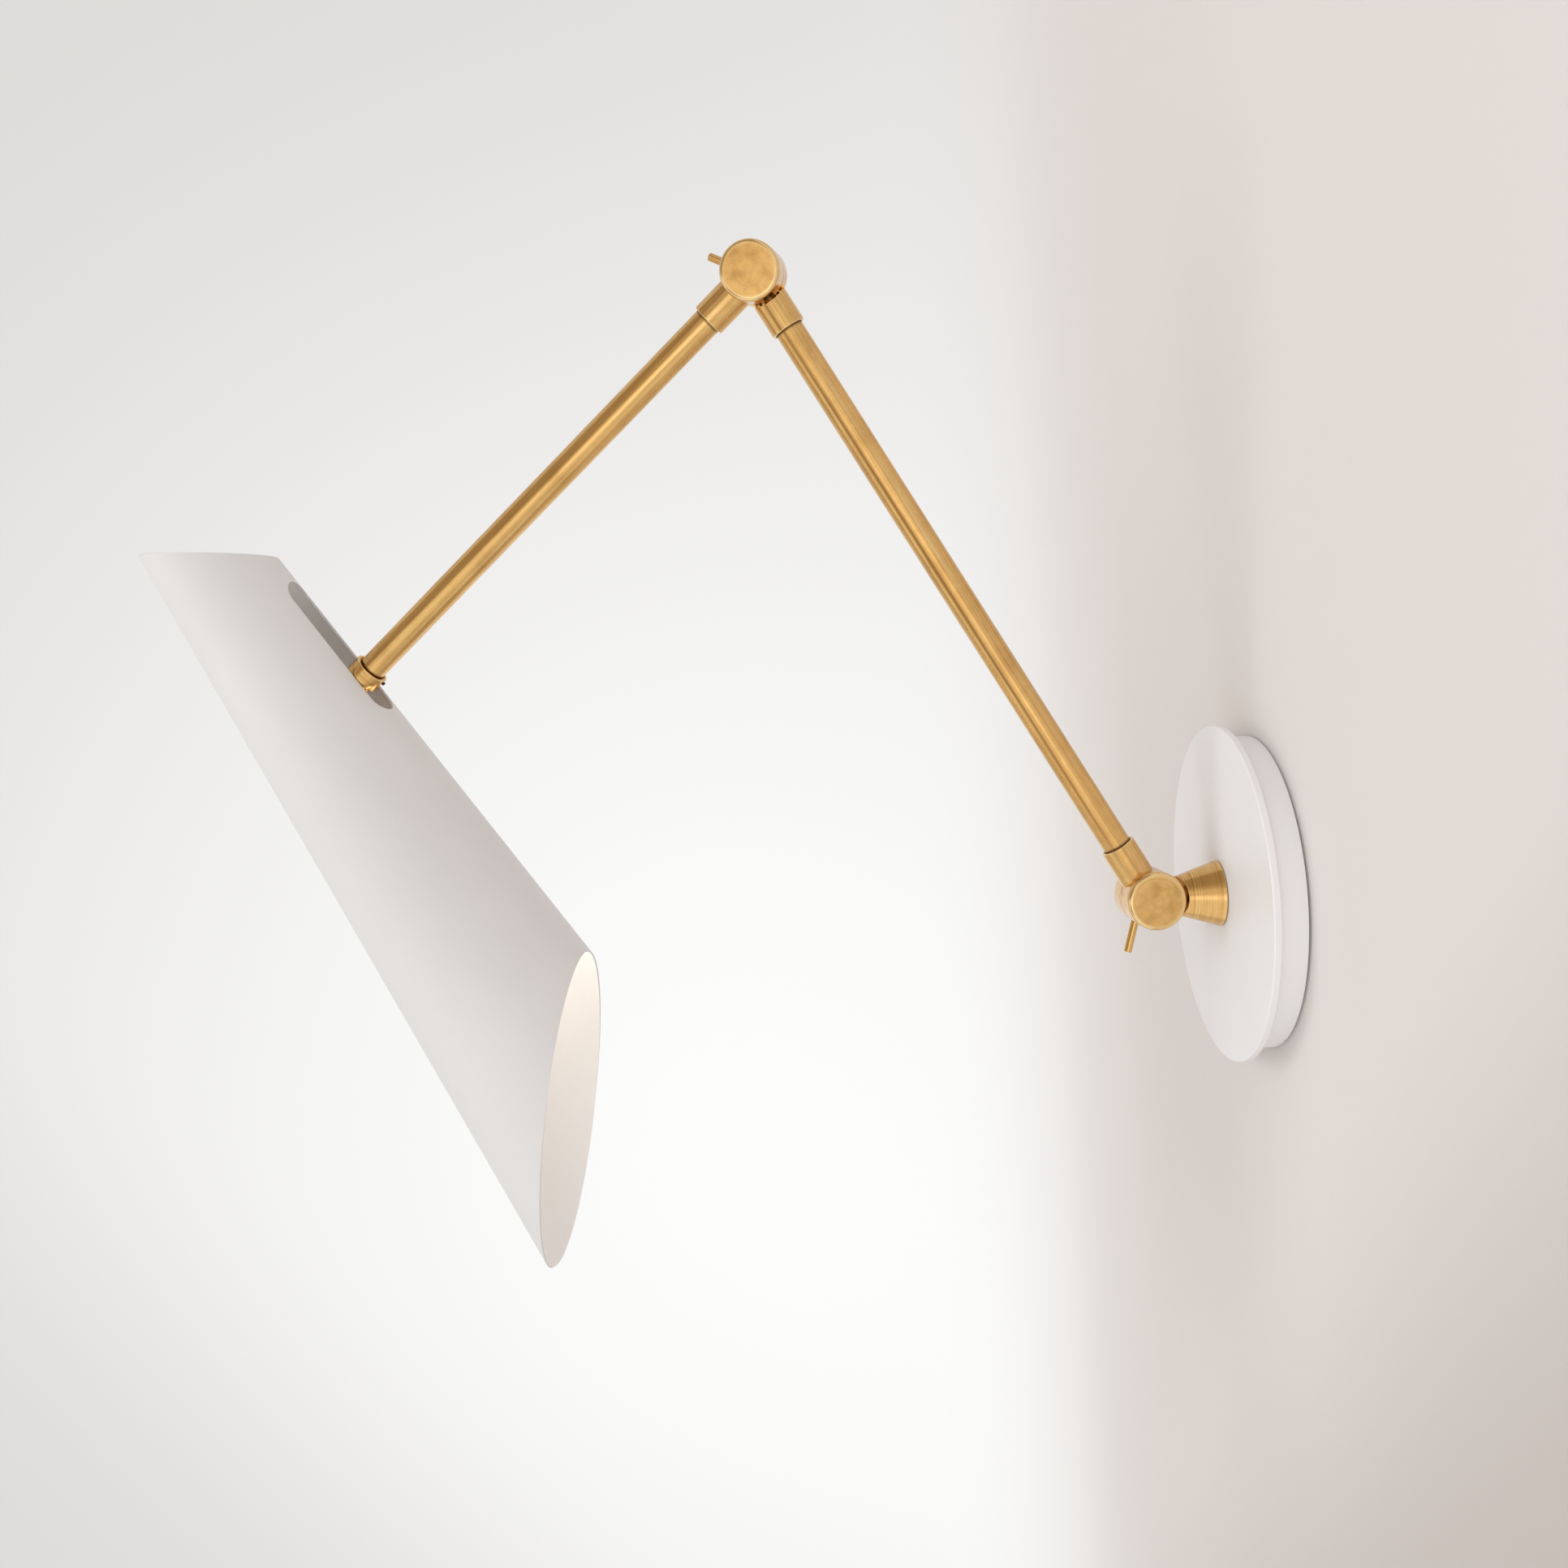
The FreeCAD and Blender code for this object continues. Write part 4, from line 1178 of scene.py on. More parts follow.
@dataclass
class KnuckleHalf:
    """Half of a clamp knuckle: a barrel about X and the sleeve or cone that grows out of it."""

    name: str
    node: str
    body: str
    place: Matrix
    seed: float
    tube_radius: float = 0.0
    radius: float = 13.0 * MM
    clearance: float = 2.0 * MM
    parting_front: float = -1.0 * MM
    parting_rear: float = -1.5 * MM
    room_reach: float = 20.0 * MM
    rim_inset: float = 0.8
    rim_reach: float = 1.9
    mottle_scale: float = 0.16
    brushing: float = 0.3

    def build(self) -> None:
        """Make a half with a sleeve for a tube."""
        shape = SleeveShape(Span.of(self.node, self.place).high.z, self.tube_radius)
        sleeve = shape.make(self.name + "_sleeve")
        rims = (Rim(shape.radius / MM, shape.end / MM),)
        finish = AgedBrass(self.name + "_sleeve_brass", self.place, Grain.ALONG_Z, rims, self.seed + 3.0)
        paint(sleeve, finish.material())
        self.join(sleeve)

    def join(self, stem: Piece) -> None:
        """Make the barrel, join the stem to it and put the half in its place.

        Args:
            stem: The painted sleeve or cone, which is used up.
        """
        span = Span.of(self.node, self.place)
        front = span.high.x > -span.low.x
        cap = span.high.x if front else span.low.x
        parting = self.parting_front if front else self.parting_rear
        half = BarrelShape(self.radius, cap, parting).make(self.name, through=not front)
        rims = (Rim(self.radius / MM - self.rim_inset, cap / MM, self.rim_reach),)
        finish = AgedBrass(
            self.name + "_barrel_brass", self.place, Grain.AROUND_X, rims, self.seed, self.brushing,
            mottle_scale=self.mottle_scale,
        )
        paint(half, finish.material())
        far = -self.room_reach if front else self.room_reach
        room = rod(self.name + "_room", self.radius + self.clearance, (parting, far), Axis.X, 160)
        combine(stem, room, "DIFFERENCE")
        combine(half, stem, "UNION")
        smooth(half)
        set_in_place(half, self.place, self.body, self.node)


@dataclass
class BaseSwivel:
    """Brass cone that turns on the canopy, grown into the rear half of the lower knuckle."""

    pivot: Vector
    wide_radius: float = 15.0 * MM
    slope: float = 0.325
    canopy_gap: float = 0.3 * MM
    mouth_edge: float = 0.4 * MM
    thin_end: float = -5.6 * MM
    pocket: float = 8.05 * MM
    pocket_floor: float = 27.5 * MM
    channel: float = 3.4 * MM

    def build(self) -> None:
        """Make the cone with its half barrel and dress the small pieces inside it."""
        level = local_frame(self.pivot, X_AXIS, -Y_AXIS)
        half = KnuckleHalf("base_cone_half", "base_cone", "base", level, 11.0)
        half.join(self._cone(level))
        carry(DARK_STEEL.material(), "base_grub_screw")
        carry(FIBRE.material(), "lower_friction_washer")

    def _cone(self, level: Matrix) -> Piece:
        """Turned cone, wide end towards the wall, hollow for the bushing.

        Args:
            level: Local frame with Z into the room.

        Returns:
            The painted cone.
        """
        wide_end = Span.of("base_cone", level).low.z
        wide = self.wide_radius - self.slope * self.canopy_gap
        thin = wide - self.slope * (self.thin_end - wide_end)
        floor = self.pivot.y + self.pocket_floor
        corners = [
            (self.channel, self.thin_end), (thin, self.thin_end), (wide, wide_end, self.mouth_edge),
            (self.pocket, wide_end), (self.pocket, floor), (self.channel, floor),
        ]
        cone = turn_piece("cone", Outline(corners), steps=160)
        rims = (Rim(wide / MM, wide_end / MM),)
        paint(cone, AgedBrass("cone_brass", level, Grain.AROUND_Z, rims, 17.0).material())
        return cone


@dataclass
class ClampHandle:
    """Clamp screw with a round head, drilled across for a small bar handle."""

    name: str
    place: Matrix
    seed: float
    head_radius: float = 5.5 * MM
    head_edge: float = 0.7 * MM
    neck_edge: float = 0.3 * MM
    shank: float = 2.95 * MM
    tip_edge: float = 0.4 * MM
    bar_edge: float = 0.5 * MM
    drill_gap: float = 0.03 * MM
    drill_reach: float = 9.0 * MM

    def build(self) -> None:
        """Make the screw and its bar."""
        bar_span = Span.of(self.name + "_bar", self.place)
        bar_radius = (bar_span.high.x - bar_span.low.x) / 2.0
        middle = (bar_span.high.x + bar_span.low.x) / 2.0
        self._screw(bar_radius, middle)
        ends = (bar_span.low.z, bar_span.high.z)
        bar = rod(self.name + "_bar", bar_radius, ends, Axis.Z, 64, self.bar_edge)
        shift(bar, (middle, 0.0, 0.0))
        finish = AgedBrass(self.name + "_bar_brass", self.place, Grain.ALONG_Z, seed=self.seed + 2.0)
        dress(bar, self.place, self.name, self.name + "_bar", finish.material())

    def _screw(self, bar_radius: float, middle: float) -> None:
        """Make the screw, drilled across its head.

        Args:
            bar_radius: Radius of the bar handle.
            middle: The bar's place along the screw.
        """
        span = Span.of(self.name + "_screw", self.place)
        start, end, head_end = span.low.x, span.high.x, 2.0 * middle - span.low.x
        corners = [
            (0.0, start), (self.head_radius, start, self.head_edge),
            (self.head_radius, head_end, self.neck_edge), (self.shank, head_end),
            (self.shank, end, self.tip_edge), (0.0, end),
        ]
        screw = turn_piece(self.name + "_screw", Outline(corners), Axis.X, closed=False)
        reach = (-self.drill_reach, self.drill_reach)
        drill = rod("drill", bar_radius + self.drill_gap, reach, Axis.Z, 48)
        shift(drill, (middle, 0.0, 0.0))
        combine(screw, drill, "DIFFERENCE")
        rims = (Rim(self.head_radius / MM, start / MM, 1.0),)
        name = self.name + "_head_brass"
        finish = AgedBrass(name, self.place, Grain.AROUND_X, rims, self.seed, brushing=0.3)
        dress(screw, self.place, self.name, self.name + "_screw", finish.material())


@dataclass
class ArmTube:
    """Brass tube of an arm, brushed along its length, with painted shade where it enters its end pieces."""

    name: str
    node: str
    body: str
    place: Matrix
    near: str
    far: str
    seed: float
    wall: float = 1.0 * MM
    edge: float = 0.25 * MM

    def build(self) -> None:
        """Make the tube."""
        radius, start, end = Span.of(self.node, self.place).about(Axis.Z)
        bore, edge = radius - self.wall, self.edge
        corners = [(radius, start, edge), (radius, end, edge), (bore, end, edge), (bore, start, edge)]
        tube = turn_piece(self.name, Outline(corners, arc_steps=3), steps=128)
        # Painted shade: dark bands where the tube enters its end pieces.
        shade_lines = (Span.of(self.near, self.place).high.z / MM, Span.of(self.far, self.place).low.z / MM)
        finish = AgedBrass(self.name + "_brass", self.place, Grain.ALONG_Z, seed=self.seed, shade_lines=shade_lines)
        dress(tube, self.place, self.body, self.node, finish.material())


@dataclass
class ArmCollar:
    """Ferrule where the upper arm enters the shade, with a dark groove at its edge."""

    place: Matrix
    tube_radius: float
    edge: float = 0.3 * MM
    inner_edge: float = 0.1 * MM
    groove: float = 0.8 * MM
    groove_depth: float = 1.2 * MM
    drill_ends: Pair = (-12.0 * MM, -5.0 * MM)

    def build(self) -> None:
        """Make the collar and dress its small screw."""
        radius, start, end = Span.of("arm_collar", self.place).about(Axis.Z)
        inside, groove, floor = self.tube_radius, self.tube_radius + self.groove, start + self.groove_depth
        corners = [
            (groove, start), (radius, start, self.edge), (radius, end, self.edge),
            (inside, end, self.inner_edge), (inside, floor), (groove, floor),
        ]
        collar = turn_piece("tube_collar", Outline(corners, arc_steps=3), steps=128)
        screw = Span.of("collar_screw", self.place)
        drill = rod("drill", (screw.high.x - screw.low.x) / 2.0, self.drill_ends, Axis.Y, 32)
        shift(drill, (0.0, 0.0, (screw.high.z + screw.low.z) / 2.0))
        combine(collar, drill, "DIFFERENCE")
        rims = (Rim(radius / MM, start / MM, 0.8), Rim(radius / MM, end / MM, 0.8))
        finish = AgedBrass("collar_brass", self.place, Grain.AROUND_Z, rims, 23.0)
        dress(collar, self.place, "upper_arm", "arm_collar", finish.material())
        carry(DARK_STEEL.material(), "collar_screw")


@dataclass
class ShadeCone:
    """Thin slanted cone cut at a slant at both ends, with the slot that the arm comes through."""

    place: Matrix
    wall: float = 0.9 * MM
    hub_radius: float = 33.4 * MM
    half_angle: float = math.radians(4.4)
    top: float = -93.3 * MM
    top_slant: float = math.radians(-33.2)
    top_turn: float = math.radians(-13.9)
    mouth: float = 215.0 * MM
    mouth_slant: float = math.radians(50.6)
    mouth_turn: float = 0.0
    slot_top: float = -61.0 * MM
    slot_bottom: float = 13.5 * MM
    slot_half_width: float = 8.8 * MM
    paint_edge: float = 0.28 * MM
    edge_angle: float = math.radians(42.0)
    spare_top: float = 45.0 * MM
    spare_mouth: float = 90.0 * MM
    inward: float = -0.3
    facets: int = 288

    def build(self) -> None:
        """Make the shade and paint its inside a brighter, warmer copy of the white, which is painted light.
        """
        shell = self._shell()
        self._cut_ends(shell)
        finish_with(shell, "SOLIDIFY", thickness=self.wall, offset=-1.0, use_even_offset=True)
        self._cut_slot(shell)
        finish_with(
            shell, "BEVEL", width=self.paint_edge, segments=3, limit_method="ANGLE",
            angle_limit=self.edge_angle,
        )
        smooth(shell, 40.0)
        # The second finish is the inside's brighter white, which is painted light.
        paint(shell, WHITE_OUTSIDE.material(), WHITE_INSIDE_BRIGHTENED.material())
        self._mark_inside(shell)
        set_in_place(shell, self.place, "shade", "shade")

    def _radius(self, place: float) -> float:
        """Outer radius at a place along the axis."""
        return self.hub_radius + math.tan(self.half_angle) * place

    def _shell(self) -> Piece:
        """Make an open cone a little longer than the shade.

        Returns:
            The cone.
        """
        low, high = self.top - self.spare_top, self.mouth + self.spare_mouth
        start_clean()
        bpy.ops.mesh.primitive_cone_add(
            vertices=self.facets, radius1=self._radius(low), radius2=self._radius(high),
            depth=high - low, end_fill_type="NOTHING", location=(0.0, 0.0, (low + high) / 2.0),
        )
        shell = bpy.context.object
        shell.name = "cone_shade"
        apply_place()
        return shell

    def _cut_ends(self, shell: Piece) -> None:
        """Cut both ends at their slants and point the faces outwards.

        Args:
            shell: The open cone.
        """
        pick(shell)
        bpy.ops.object.mode_set(mode="EDIT")
        ends = (
            (self.top, self.top_slant, self.top_turn, False),
            (self.mouth, self.mouth_slant, self.mouth_turn, True),
        )
        for place, slant, turn, above in ends:
            tip = Matrix.Rotation(turn, 3, "Z") @ Matrix.Rotation(slant, 3, "X")
            bpy.ops.mesh.select_all(action="SELECT")
            bpy.ops.mesh.bisect(
                plane_co=(0.0, 0.0, place), plane_no=tip @ Z_AXIS, clear_outer=above, clear_inner=not above
            )
        bpy.ops.mesh.select_all(action="SELECT")
        bpy.ops.mesh.normals_make_consistent(inside=False)
        bpy.ops.object.mode_set(mode="OBJECT")

    def _cut_slot(self, shell: Piece) -> None:
        """Cut the long slot on the arm's side.

        Args:
            shell: The thickened cone.
        """
        half_length = (self.slot_bottom - self.slot_top) / 2.0
        cutter = rounded_bar("slot_cutter", half_length, self.slot_half_width, 2.0 * self.hub_radius)
        shift(cutter, (0.0, 0.0, (self.slot_top + self.slot_bottom) / 2.0))
        combine(shell, cutter, "DIFFERENCE")

    def _mark_inside(self, shell: Piece) -> None:
        """Give the faces that look at the axis the brighter inside paint, which is painted light.

        Args:
            shell: The painted shade.
        """
        for face in shell.data.polygons:
            outward = Vector((face.center.x, face.center.y, 0.0))
            depth = self._radius(face.center.z) - outward.length
            faces_axis = face.normal.dot(outward.normalized()) < self.inward
            face.material_index = 1 if faces_axis and depth > self.wall / 2.0 else 0


@dataclass
class LampHolder:
    """Holder, ring nut, spider and bulb inside the shade, with the hinge that carries them."""

    place: Matrix
    arm_place: Matrix
    cup_wall: float = 1.0 * MM
    cup_top: float = 1.2 * MM
    cup_hole: float = 4.85 * MM
    cup_fillet: float = 2.0 * MM
    cup_inner_fillet: float = 1.0 * MM
    cup_hole_edge: float = 0.2 * MM
    cup_mouth_edge: float = 0.3 * MM
    neck: float = 18.0 * MM
    crest: float = 19.8 * MM
    skirt: float = 36.0 * MM
    skirt_edge: float = 0.4 * MM
    mouth_edge: float = 0.3 * MM
    flange: Pair = (46.5 * MM, 48.5 * MM)
    cavity: float = 14.0 * MM
    cavity_floor: float = 27.0 * MM
    ring_pitch: float = 2.4 * MM
    ring_depth: float = 0.55 * MM
    ring_rounding: float = 0.15 * MM
    edge: float = 0.5 * MM
    tip: float = 4.5 * MM
    tip_height: float = 1.6 * MM
    shoulder: float = 11.0 * MM
    shoulder_height: float = 4.2 * MM
    shoulder_fillet: float = 0.8 * MM
    cap_pitch: float = 3.6 * MM
    cap_depth: float = 0.9 * MM
    cap_rounding: float = 0.55 * MM
    cap_thread_start: float = 5.6 * MM
    cap_thread_end: float = 3.0 * MM
    cap_collar: float = 1.2 * MM
    cap_collar_edge: float = 0.4 * MM
    bulb_neck: float = 13.6 * MM
    bulb_neck_length: float = 6.0 * MM
    bulb_neck_fillet: float = 8.0 * MM
    glass_wall: float = 0.8 * MM
    pear_start: float = math.radians(-20.0)
    pear_steps: int = 24

    def build(self) -> None:
        """Make the turned pieces and dress the others."""
        ceramic = CERAMIC.material()
        self._cap()
        for name, node, outline, slot, finish in (
            ("holder_body", "socket_body", self._body(), "ceramic_body", ceramic),
            ("bulb_screw_cap", "bulb_cap", self._bulb_cap(), "nickel", NICKEL.material()),
        ):
            dress(turn_piece(name, outline, closed=False), self.place, "shade", node, finish)
        self._bulb_glass()
        carry(STEEL.material(), "shade_fork", "tilt_screw", "tilt_nut", "fork_nut")
        carry(SPUN_BRASS.material(), "socket_shell", "socket_contact")
        carry(ceramic, "shade_ring")
        # The spider gets the inside's brighter white, which is painted light.
        carry(WHITE_INSIDE_BRIGHTENED.material(), "shade_spider")
        carry(AgedBrass("tongue_brass", self.arm_place, Grain.ALONG_Z, seed=29.0).material(), "hinge_tongue")

    def _cap(self) -> None:
        """Drawn cup over the back of the holder."""
        radius, top, end = Span.of("socket_cap", self.place).about(Axis.Z)
        inside, floor = radius - self.cup_wall, top + self.cup_top
        corners = [
            (self.cup_hole, top, self.cup_hole_edge), (radius, top, self.cup_fillet),
            (radius, end, self.cup_mouth_edge), (inside, end, self.cup_mouth_edge),
            (inside, floor, self.cup_inner_fillet), (self.cup_hole, floor),
        ]
        cap = turn_piece("holder_cup", Outline(corners), steps=128)
        rims = (Rim(radius / MM, end / MM),)
        finish = AgedBrass("cup_brass", self.place, Grain.AROUND_Z, rims, 31.0)
        dress(cap, self.place, "shade", "socket_cap", finish.material())

    def _body(self) -> Outline:
        """Draw the insulating body with its flange, ring thread and hollow.

        Returns:
            Its outline.
        """
        wide, start, end = Span.of("socket_body", self.place).about(Axis.Z)
        low, high = self.flange
        root = self.crest - self.ring_depth
        rounding = self.ring_rounding
        turn = [(self.crest, 0.3, rounding), (self.crest, 0.5, rounding), (root, 0.8)]
        thread, _ = thread_corners(high + 0.3 * self.ring_pitch, end, self.ring_pitch, turn)
        corners = [
            (0.0, start), (self.neck, start, self.edge), (self.neck, self.skirt),
            (self.crest, self.skirt, self.skirt_edge), (self.crest, low), (wide, low, self.edge),
            (wide, high, self.edge), (root, high), *thread, (root, end, self.mouth_edge),
            (self.cavity, end, self.edge), (self.cavity, self.cavity_floor), (0.0, self.cavity_floor),
        ]
        return Outline(corners, arc_steps=4)

    def _bulb_cap(self) -> Outline:
        """Draw the rolled screw cap with its rounded thread and insulated tip.

        Returns:
            Its outline.
        """
        crest, start, end = Span.of("bulb_cap", self.place).about(Axis.Z)
        root = crest - self.cap_depth
        threaded = start + self.cap_thread_start
        rounding = self.cap_rounding
        turn = [(crest, 0.30, rounding), (crest, 0.55, rounding), (root, 0.95, self.edge)]
        thread, top = thread_corners(threaded, end - self.cap_thread_end, self.cap_pitch, turn)
        corners = [
            (0.0, start), (self.tip, start, self.edge), (self.tip, start + self.tip_height),
            (self.shoulder, start + self.shoulder_height, self.shoulder_fillet), (root, threaded), *thread,
            (crest, top + self.cap_collar, self.cap_collar_edge), (crest, end), (0.0, end),
        ]
        return Outline(corners, arc_steps=5)

    def _bulb_glass(self) -> None:
        """Pear-shaped glass, drawn in smoothly to its neck."""
        radius, start, end = Span.of("bulb_glass", self.place).about(Axis.Z)
        centre = end - radius
        neck = (self.bulb_neck, start + self.bulb_neck_length, self.bulb_neck_fillet)
        corners = [(self.bulb_neck, start), neck]
        for step in range(self.pear_steps + 1):
            angle = self.pear_start + (math.pi / 2.0 - self.pear_start) * step / self.pear_steps
            corners.append((max(radius * math.cos(angle), 0.0), centre + radius * math.sin(angle)))
        glass = turn_piece("bulb_envelope", Outline(corners, arc_steps=8), steps=128, closed=False)
        finish_with(glass, "SOLIDIFY", thickness=self.glass_wall, offset=-1.0)
        smooth(glass, 50.0)
        paint(glass, GLASS.material())
        set_in_place(glass, self.place, "shade", "bulb_glass")


@dataclass
class Elbow:
    """Both halves of the elbow's knuckle, its handle and the small pieces inside it."""

    places: LampPlaces
    tube_radius: float
    swivel_gap: float = 0.05 * MM

    def build(self) -> None:
        """Make the elbow and dress what it holds."""
        places, swivel_bore = self.places, self.tube_radius + self.swivel_gap
        carry(AgedBrass("plug_brass", places.lower, Grain.ALONG_Z, seed=19.0).material(), "elbow_swivel_plug")
        rear = ("elbow_rear_half", "elbow_knuckle_rear", "elbow_base", places.elbow_base, 37.0)
        front = ("elbow_front_half", "elbow_knuckle_front", "upper_arm", places.upper, 47.0)
        KnuckleHalf(*rear, swivel_bore).build()
        ClampHandle("elbow_clamp", places.elbow_handle, 43.0).build()
        KnuckleHalf(*front, self.tube_radius).build()
        carry(DARK_STEEL.material(), "elbow_grub_screw")
        carry(FIBRE.material(), "elbow_friction_washer")


@dataclass
class Stage:
    """Pale wall that sweeps into a pale backdrop, seen only from the room's side, with painted shade towards
    its corners and a painted pool of light that the camera and metal see.
    """

    wall_gap: float = 0.2 * MM
    reach: float = 12.0
    backdrop: float = -1.05
    sweep: float = 0.60
    sweep_steps: int = 24
    wall_tone: Colour = (0.81, 0.77, 0.745, 1.0)
    # The corner tone is painted shade: the wall darkens towards one corner.
    corner_shade_tone: Colour = (0.61, 0.56, 0.53, 1.0)
    corner: Pair = (0.16, 0.46)
    roughness: float = 0.9
    plaster_scale: float = 55.0
    plaster_height: float = 0.05 * MM
    box_opening: Pair = (50.0 * MM, 52.0 * MM)
    # The tones below paint a pool of light on the backdrop that fades towards its edge, painted shade in its
    # low corner, and a painted reflection that metal sees next to the camera.
    painted_light_tone: Colour = (0.98, 0.98, 0.975, 1.0)
    painted_dim_tone: Colour = (0.73, 0.715, 0.70, 1.0)
    painted_light_place: Pair = (-0.22, -0.40)
    painted_light_reach: float = 1.50
    low_corner: Pair = (1.15, 1.90)
    low_corner_shade: float = 0.9
    turning: Pair = (0.20, 0.75)
    painted_reflection: Pair = (0.03, 0.40)

    def build(self) -> None:
        """Make the wall with its sweep."""
        start_clean()
        bpy.ops.mesh.primitive_plane_add(size=1.0, location=(0.0, 0.0, 0.0))
        wall = bpy.context.object
        wall.name = "studio_wall"
        self._draw(wall)
        smooth(wall, 60.0)
        paint(wall, self._material())
        log.info("studio_wall: %d faces", len(wall.data.polygons))

    def _draw(self, wall: Piece) -> None:
        """Lay the points: along the wall, round the sweep and out along the backdrop.

        Args:
            wall: The stage, whose plane is drawn over.
        """
        centre = Vector((self.backdrop + self.sweep, self.wall_gap - self.sweep))
        places = [Vector((self.reach, self.wall_gap)), centre + Vector((0.0, self.sweep))]
        for step in range(1, self.sweep_steps + 1):
            angle = math.pi / 2.0 + math.pi / 2.0 * step / self.sweep_steps
            places.append(centre + Vector((math.cos(angle), math.sin(angle))) * self.sweep)
        places.append(Vector((self.backdrop, -self.reach)))
        shape = bmesh.new()
        ends = (-self.reach, self.reach)
        rows = [[shape.verts.new((*place, height)) for height in ends] for place in places]
        for (low, high), (next_low, next_high) in zip(rows, rows[1:]):
            shape.faces.new((low, high, next_high, next_low))
        shape.to_mesh(wall.data)
        shape.free()

    def _material(self) -> Material:
        """Mix matt pale paint with painted shade towards one corner, a painted pool of light on the backdrop
        and a painted reflection next to the camera, clear from behind and behind the canopy, so that the
        lamp's back shows.

        Returns:
            The material.
        """
        shader = Shader("studio_wall_paint")
        point = shader.point()
        x, y, z = shader.sides(point)
        plaster = shader.noise(point, self.plaster_scale, detail=4.0, rough=0.55)
        # Painted shade: the lit paint darkens towards one corner.
        lit = shader.node(
            "ShaderNodeBsdfPrincipled",
            {},
            {
                "Base Color": shader.mix((x - z).ramp(*self.corner), self.wall_tone, self.corner_shade_tone),
                "Roughness": self.roughness,
                "Normal": shader.bump(plaster, self.plaster_height),
            },
        )
        # Painted light: a glowing pool on the backdrop, dimmer away from it and in the low corner.
        spread = (y - self.painted_light_place[0]).length_with(z - self.painted_light_place[1])
        tone = shader.mix(spread.ramp(0.0, self.painted_light_reach), self.painted_light_tone, self.painted_dim_tone)
        low_corner = (y * -1.0 - z).ramp(*self.low_corner) * self.low_corner_shade
        tone = shader.mix(low_corner, tone, self.painted_dim_tone)
        shown = shader.node("ShaderNodeEmission", {}, {"Color": tone, "Strength": 1.0})
        # Painted reflection: metal sees the glowing wall next to the camera.
        painted_reflection = shader.ray("Is Glossy Ray") * x.ramp(*self.painted_reflection)
        seen = shader.seen_by_eye() * (x * -1.0).ramp(*self.turning) + painted_reflection
        front = shader.node("ShaderNodeMixShader", {}, {0: seen, 1: lit, 2: shown})
        clear = shader.node("ShaderNodeBsdfTransparent", {}, {})
        behind = shader.node("ShaderNodeNewGeometry", {}, {}, "Backfacing")
        opening = 1.0 - x.length_with(z).ramp(*self.box_opening)
        unseen = (behind + opening).ramp(0.0, 1.0)
        return shader.end(shader.node("ShaderNodeMixShader", {}, {0: unseen, 1: front, 2: clear}))


@dataclass
class Softbox:
    """Square area lamp that looks at one point."""

    name: str
    place: Triple
    target: Triple
    side: float
    power: float
    mirrored: bool = True

    def build(self) -> None:
        """Hang the lamp; one that isn't mirrored leaves no highlight on metal."""
        start_clean()
        bpy.ops.object.light_add(type="AREA", location=self.place)
        lamp = bpy.context.object
        lamp.name = self.name
        lamp.data.size = self.side
        lamp.data.energy = self.power
        lamp.visible_camera = False
        lamp.visible_glossy = self.mirrored
        aim = Vector(self.target) - Vector(self.place)
        lamp.rotation_euler = aim.to_track_quat("-Z", "Y").to_euler()


@dataclass
class Studio:
    """Plain soft light from an even room, which metal shows with a dim ceiling and a bright floor."""

    even: Colour = (0.77, 0.765, 0.76, 1.0)
    backdrop: Colour = (0.86, 0.85, 0.84, 1.0)
    ceiling: Colour = (0.42, 0.35, 0.27, 1.0)
    floor: Colour = (1.0, 0.99, 0.975, 1.0)
    horizon: float = 0.08
    flag: Colour = (0.38, 0.30, 0.22, 1.0)
    flag_direction: Triple = (0.57, -0.71, -0.41)
    flag_edges: Pair = (0.955, 0.985)
    middle: Triple = (0.0, -0.22, 0.08)

    def build(self) -> None:
        """Light the scene."""
        self._surround()
        for box in (
            Softbox("camera_card", (1.9, -0.30, 0.15), self.middle, 1.5, 3.2),
            Softbox("front_softbox", (0.20, -2.10, 0.35), self.middle, 1.2, 9.5, mirrored=False),
            Softbox("upper_left_softbox", (1.45, -1.00, 0.90), self.middle, 0.6, 0.5),
            Softbox("wall_wash", (1.00, -0.36, 0.20), (0.66, 0.0, 0.20), 0.5, 0.45, mirrored=False),
            Softbox("under_fill", (1.10, -0.15, -0.95), (0.0, -0.36, 0.05), 0.6, 2.4, mirrored=False),
        ):
            box.build()

    def _surround(self) -> None:
        """World even to matt surfaces and plain to the camera, with a ceiling, floor and flag in metal."""
        world = bpy.data.worlds.new("studio_surround")
        bpy.context.scene.world = world
        shader = Shader(world.name, world)
        direction = shader.node("ShaderNodeTexCoord", {}, {}, "Generated")
        height = shader.sides(direction)[2]
        shown = shader.mix(height.ramp(-self.horizon, self.horizon), self.floor, self.ceiling)
        sockets = {0: direction, 1: self.flag_direction}
        facing = shader.node("ShaderNodeVectorMath", {"operation": "DOT_PRODUCT"}, sockets, "Value")
        shown = shader.mix(facing.ramp(*self.flag_edges), shown, self.flag)
        plain = shader.mix(shader.seen_by_eye(), self.even, self.backdrop)
        colour = shader.mix(shader.ray("Is Glossy Ray"), plain, shown)
        light = shader.node("ShaderNodeBackground", {}, {"Color": colour, "Strength": 1.0})
        shader.end(light, "ShaderNodeOutputWorld")


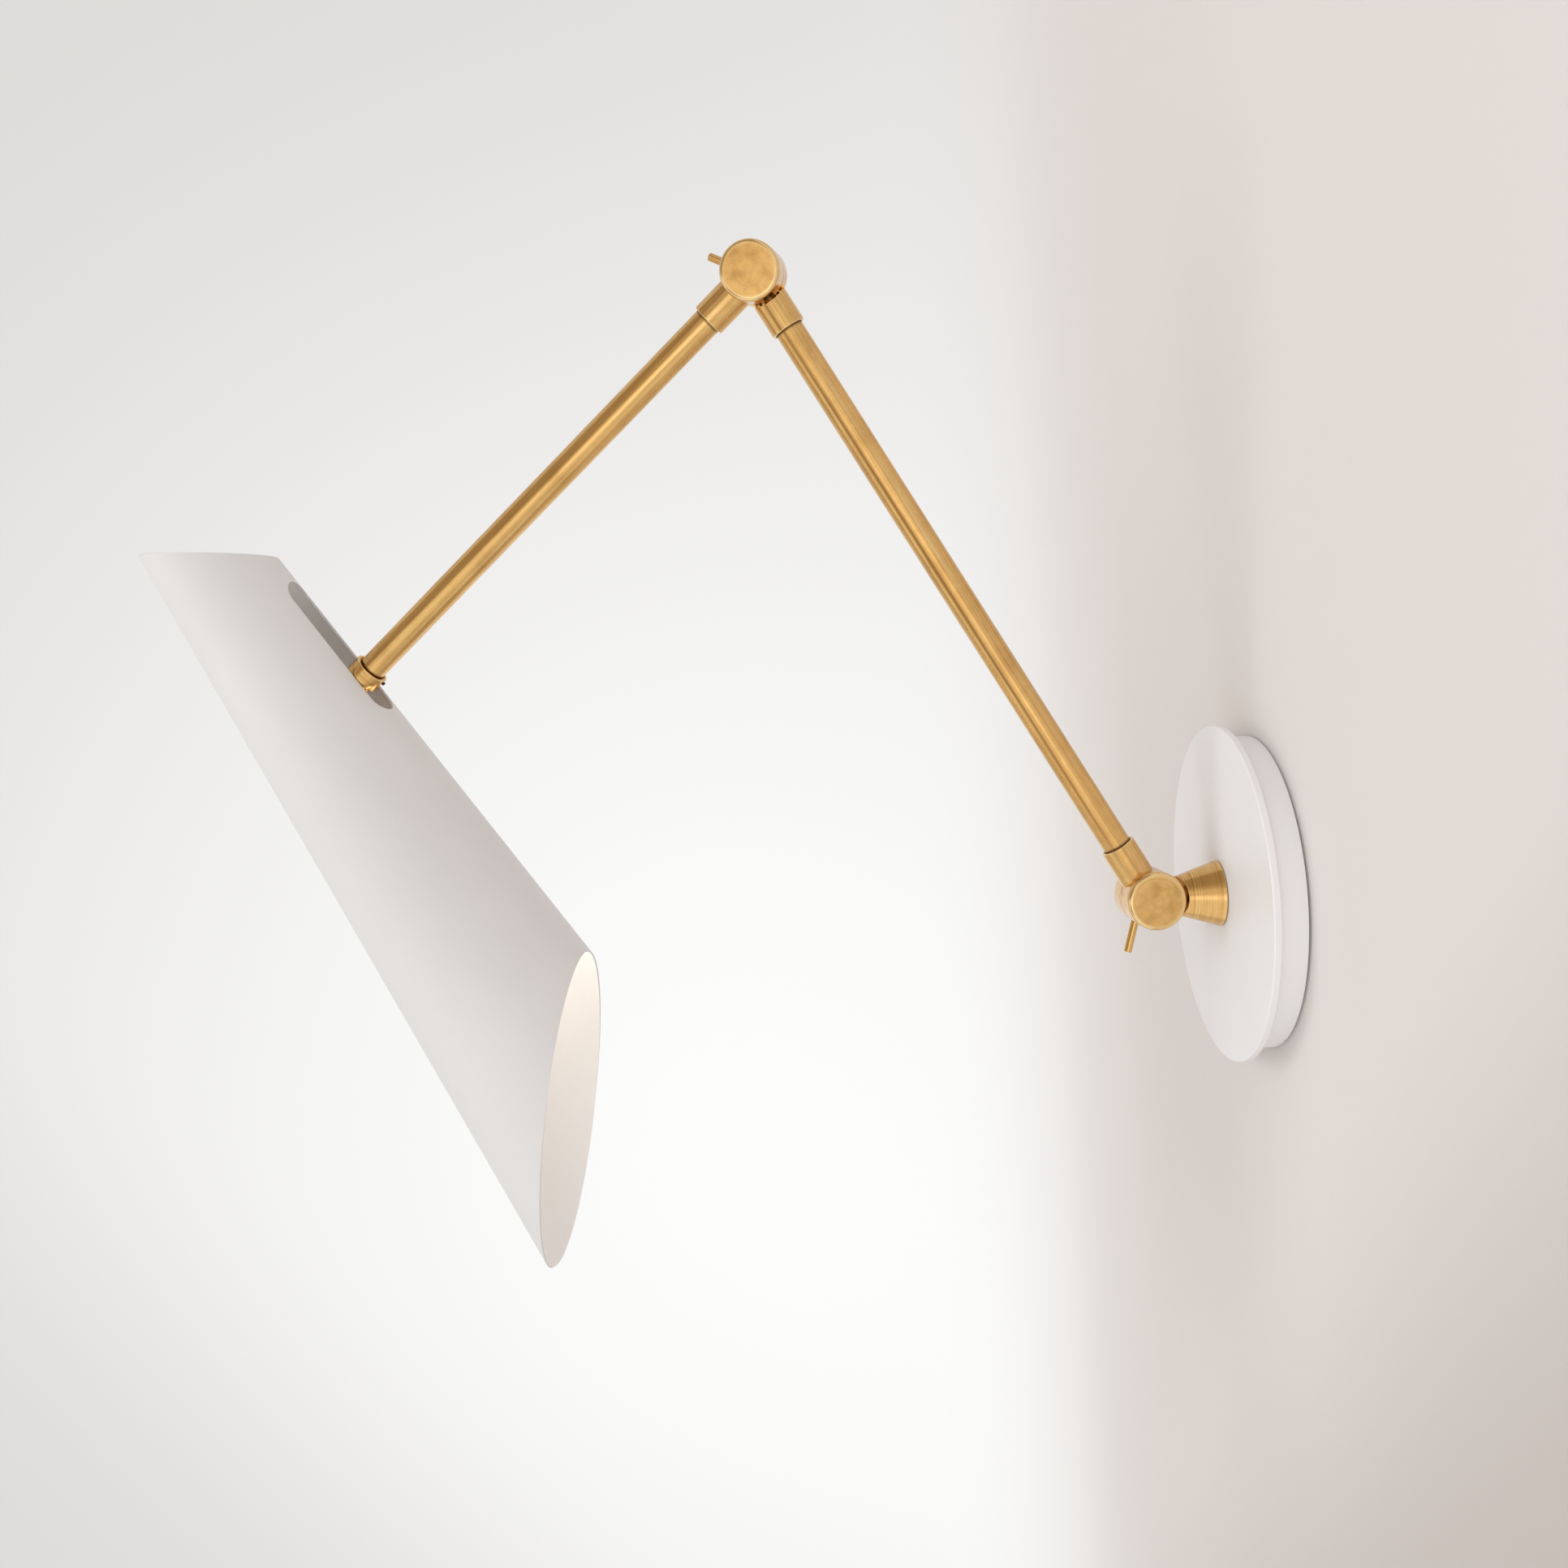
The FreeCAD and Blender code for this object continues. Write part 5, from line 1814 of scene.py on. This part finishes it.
@dataclass
class Camera:
    """Camera at the photograph's place and angle."""

    place: Triple = (0.72059, -0.22809, 0.11484)
    azimuth: float = math.radians(88.45)
    elevation: float = math.radians(4.25)
    roll: float = math.radians(-3.54)
    focal_px: float = 2014.29
    sensor_mm: float = 36.0
    clip: Pair = (0.01, 30.0)

    def build(self) -> None:
        """Set the camera up."""
        start_clean()
        bpy.ops.object.camera_add(location=self.place)
        camera = bpy.context.object
        camera.name = "photo_camera"
        level = math.cos(self.elevation)
        back = Vector(
            (math.sin(self.azimuth) * level, -math.cos(self.azimuth) * level, math.sin(self.elevation))
        )
        right = (-back).cross(Z_AXIS).normalized()
        up = back.cross(right)
        rolled_right = right * math.cos(self.roll) + up * math.sin(self.roll)
        rolled_up = up * math.cos(self.roll) - right * math.sin(self.roll)
        turn = Matrix((rolled_right, rolled_up, back)).transposed()
        camera.matrix_world = Matrix.Translation(Vector(self.place)) @ turn.to_4x4()
        camera.data.sensor_width = self.sensor_mm
        camera.data.lens = self.focal_px / IMAGE_SIDE_PX * self.sensor_mm
        camera.data.clip_start, camera.data.clip_end = self.clip
        bpy.context.scene.camera = camera


@dataclass
class WallLamp:
    """The whole lamp, built sub-assembly by sub-assembly from the wall outwards."""

    places: LampPlaces = field(default_factory=LampPlaces.from_joints)

    def build(self) -> None:
        """Build every sub-assembly."""
        places = self.places
        lower, upper = places.lower, places.upper
        radius = Span.of("lower_arm_tube", lower).high.x
        for part in (
            Canopy(),
            BaseSwivel(lower.translation),
            ClampHandle("lower_clamp", places.lower_handle, 41.0),
            ArmTube(
                "lower_tube", "lower_arm_tube", "lower_arm", lower, "lower_knuckle", "elbow_knuckle_rear", 2.0
            ),
            KnuckleHalf("lower_front_half", "lower_knuckle", "lower_arm", lower, 13.0, radius),
            Elbow(places, radius),
            ArmTube(
                "upper_tube", "upper_arm_tube", "upper_arm", upper, "elbow_knuckle_front", "arm_collar", 7.0
            ),
            ArmCollar(upper, radius),
            LampHolder(places.shade, upper),
            ShadeCone(places.shade),
        ):
            part.build()


def main() -> None:
    """Build the lamp, its stage, its light and its camera."""
    logging.basicConfig(level=logging.INFO, format="%(message)s")
    bpy.context.scene.view_settings.view_transform = "Standard"
    for part in (Camera(), WallLamp(), Stage(), Studio()):
        part.build()
    start_clean()


if __name__ == "__main__":
    main()
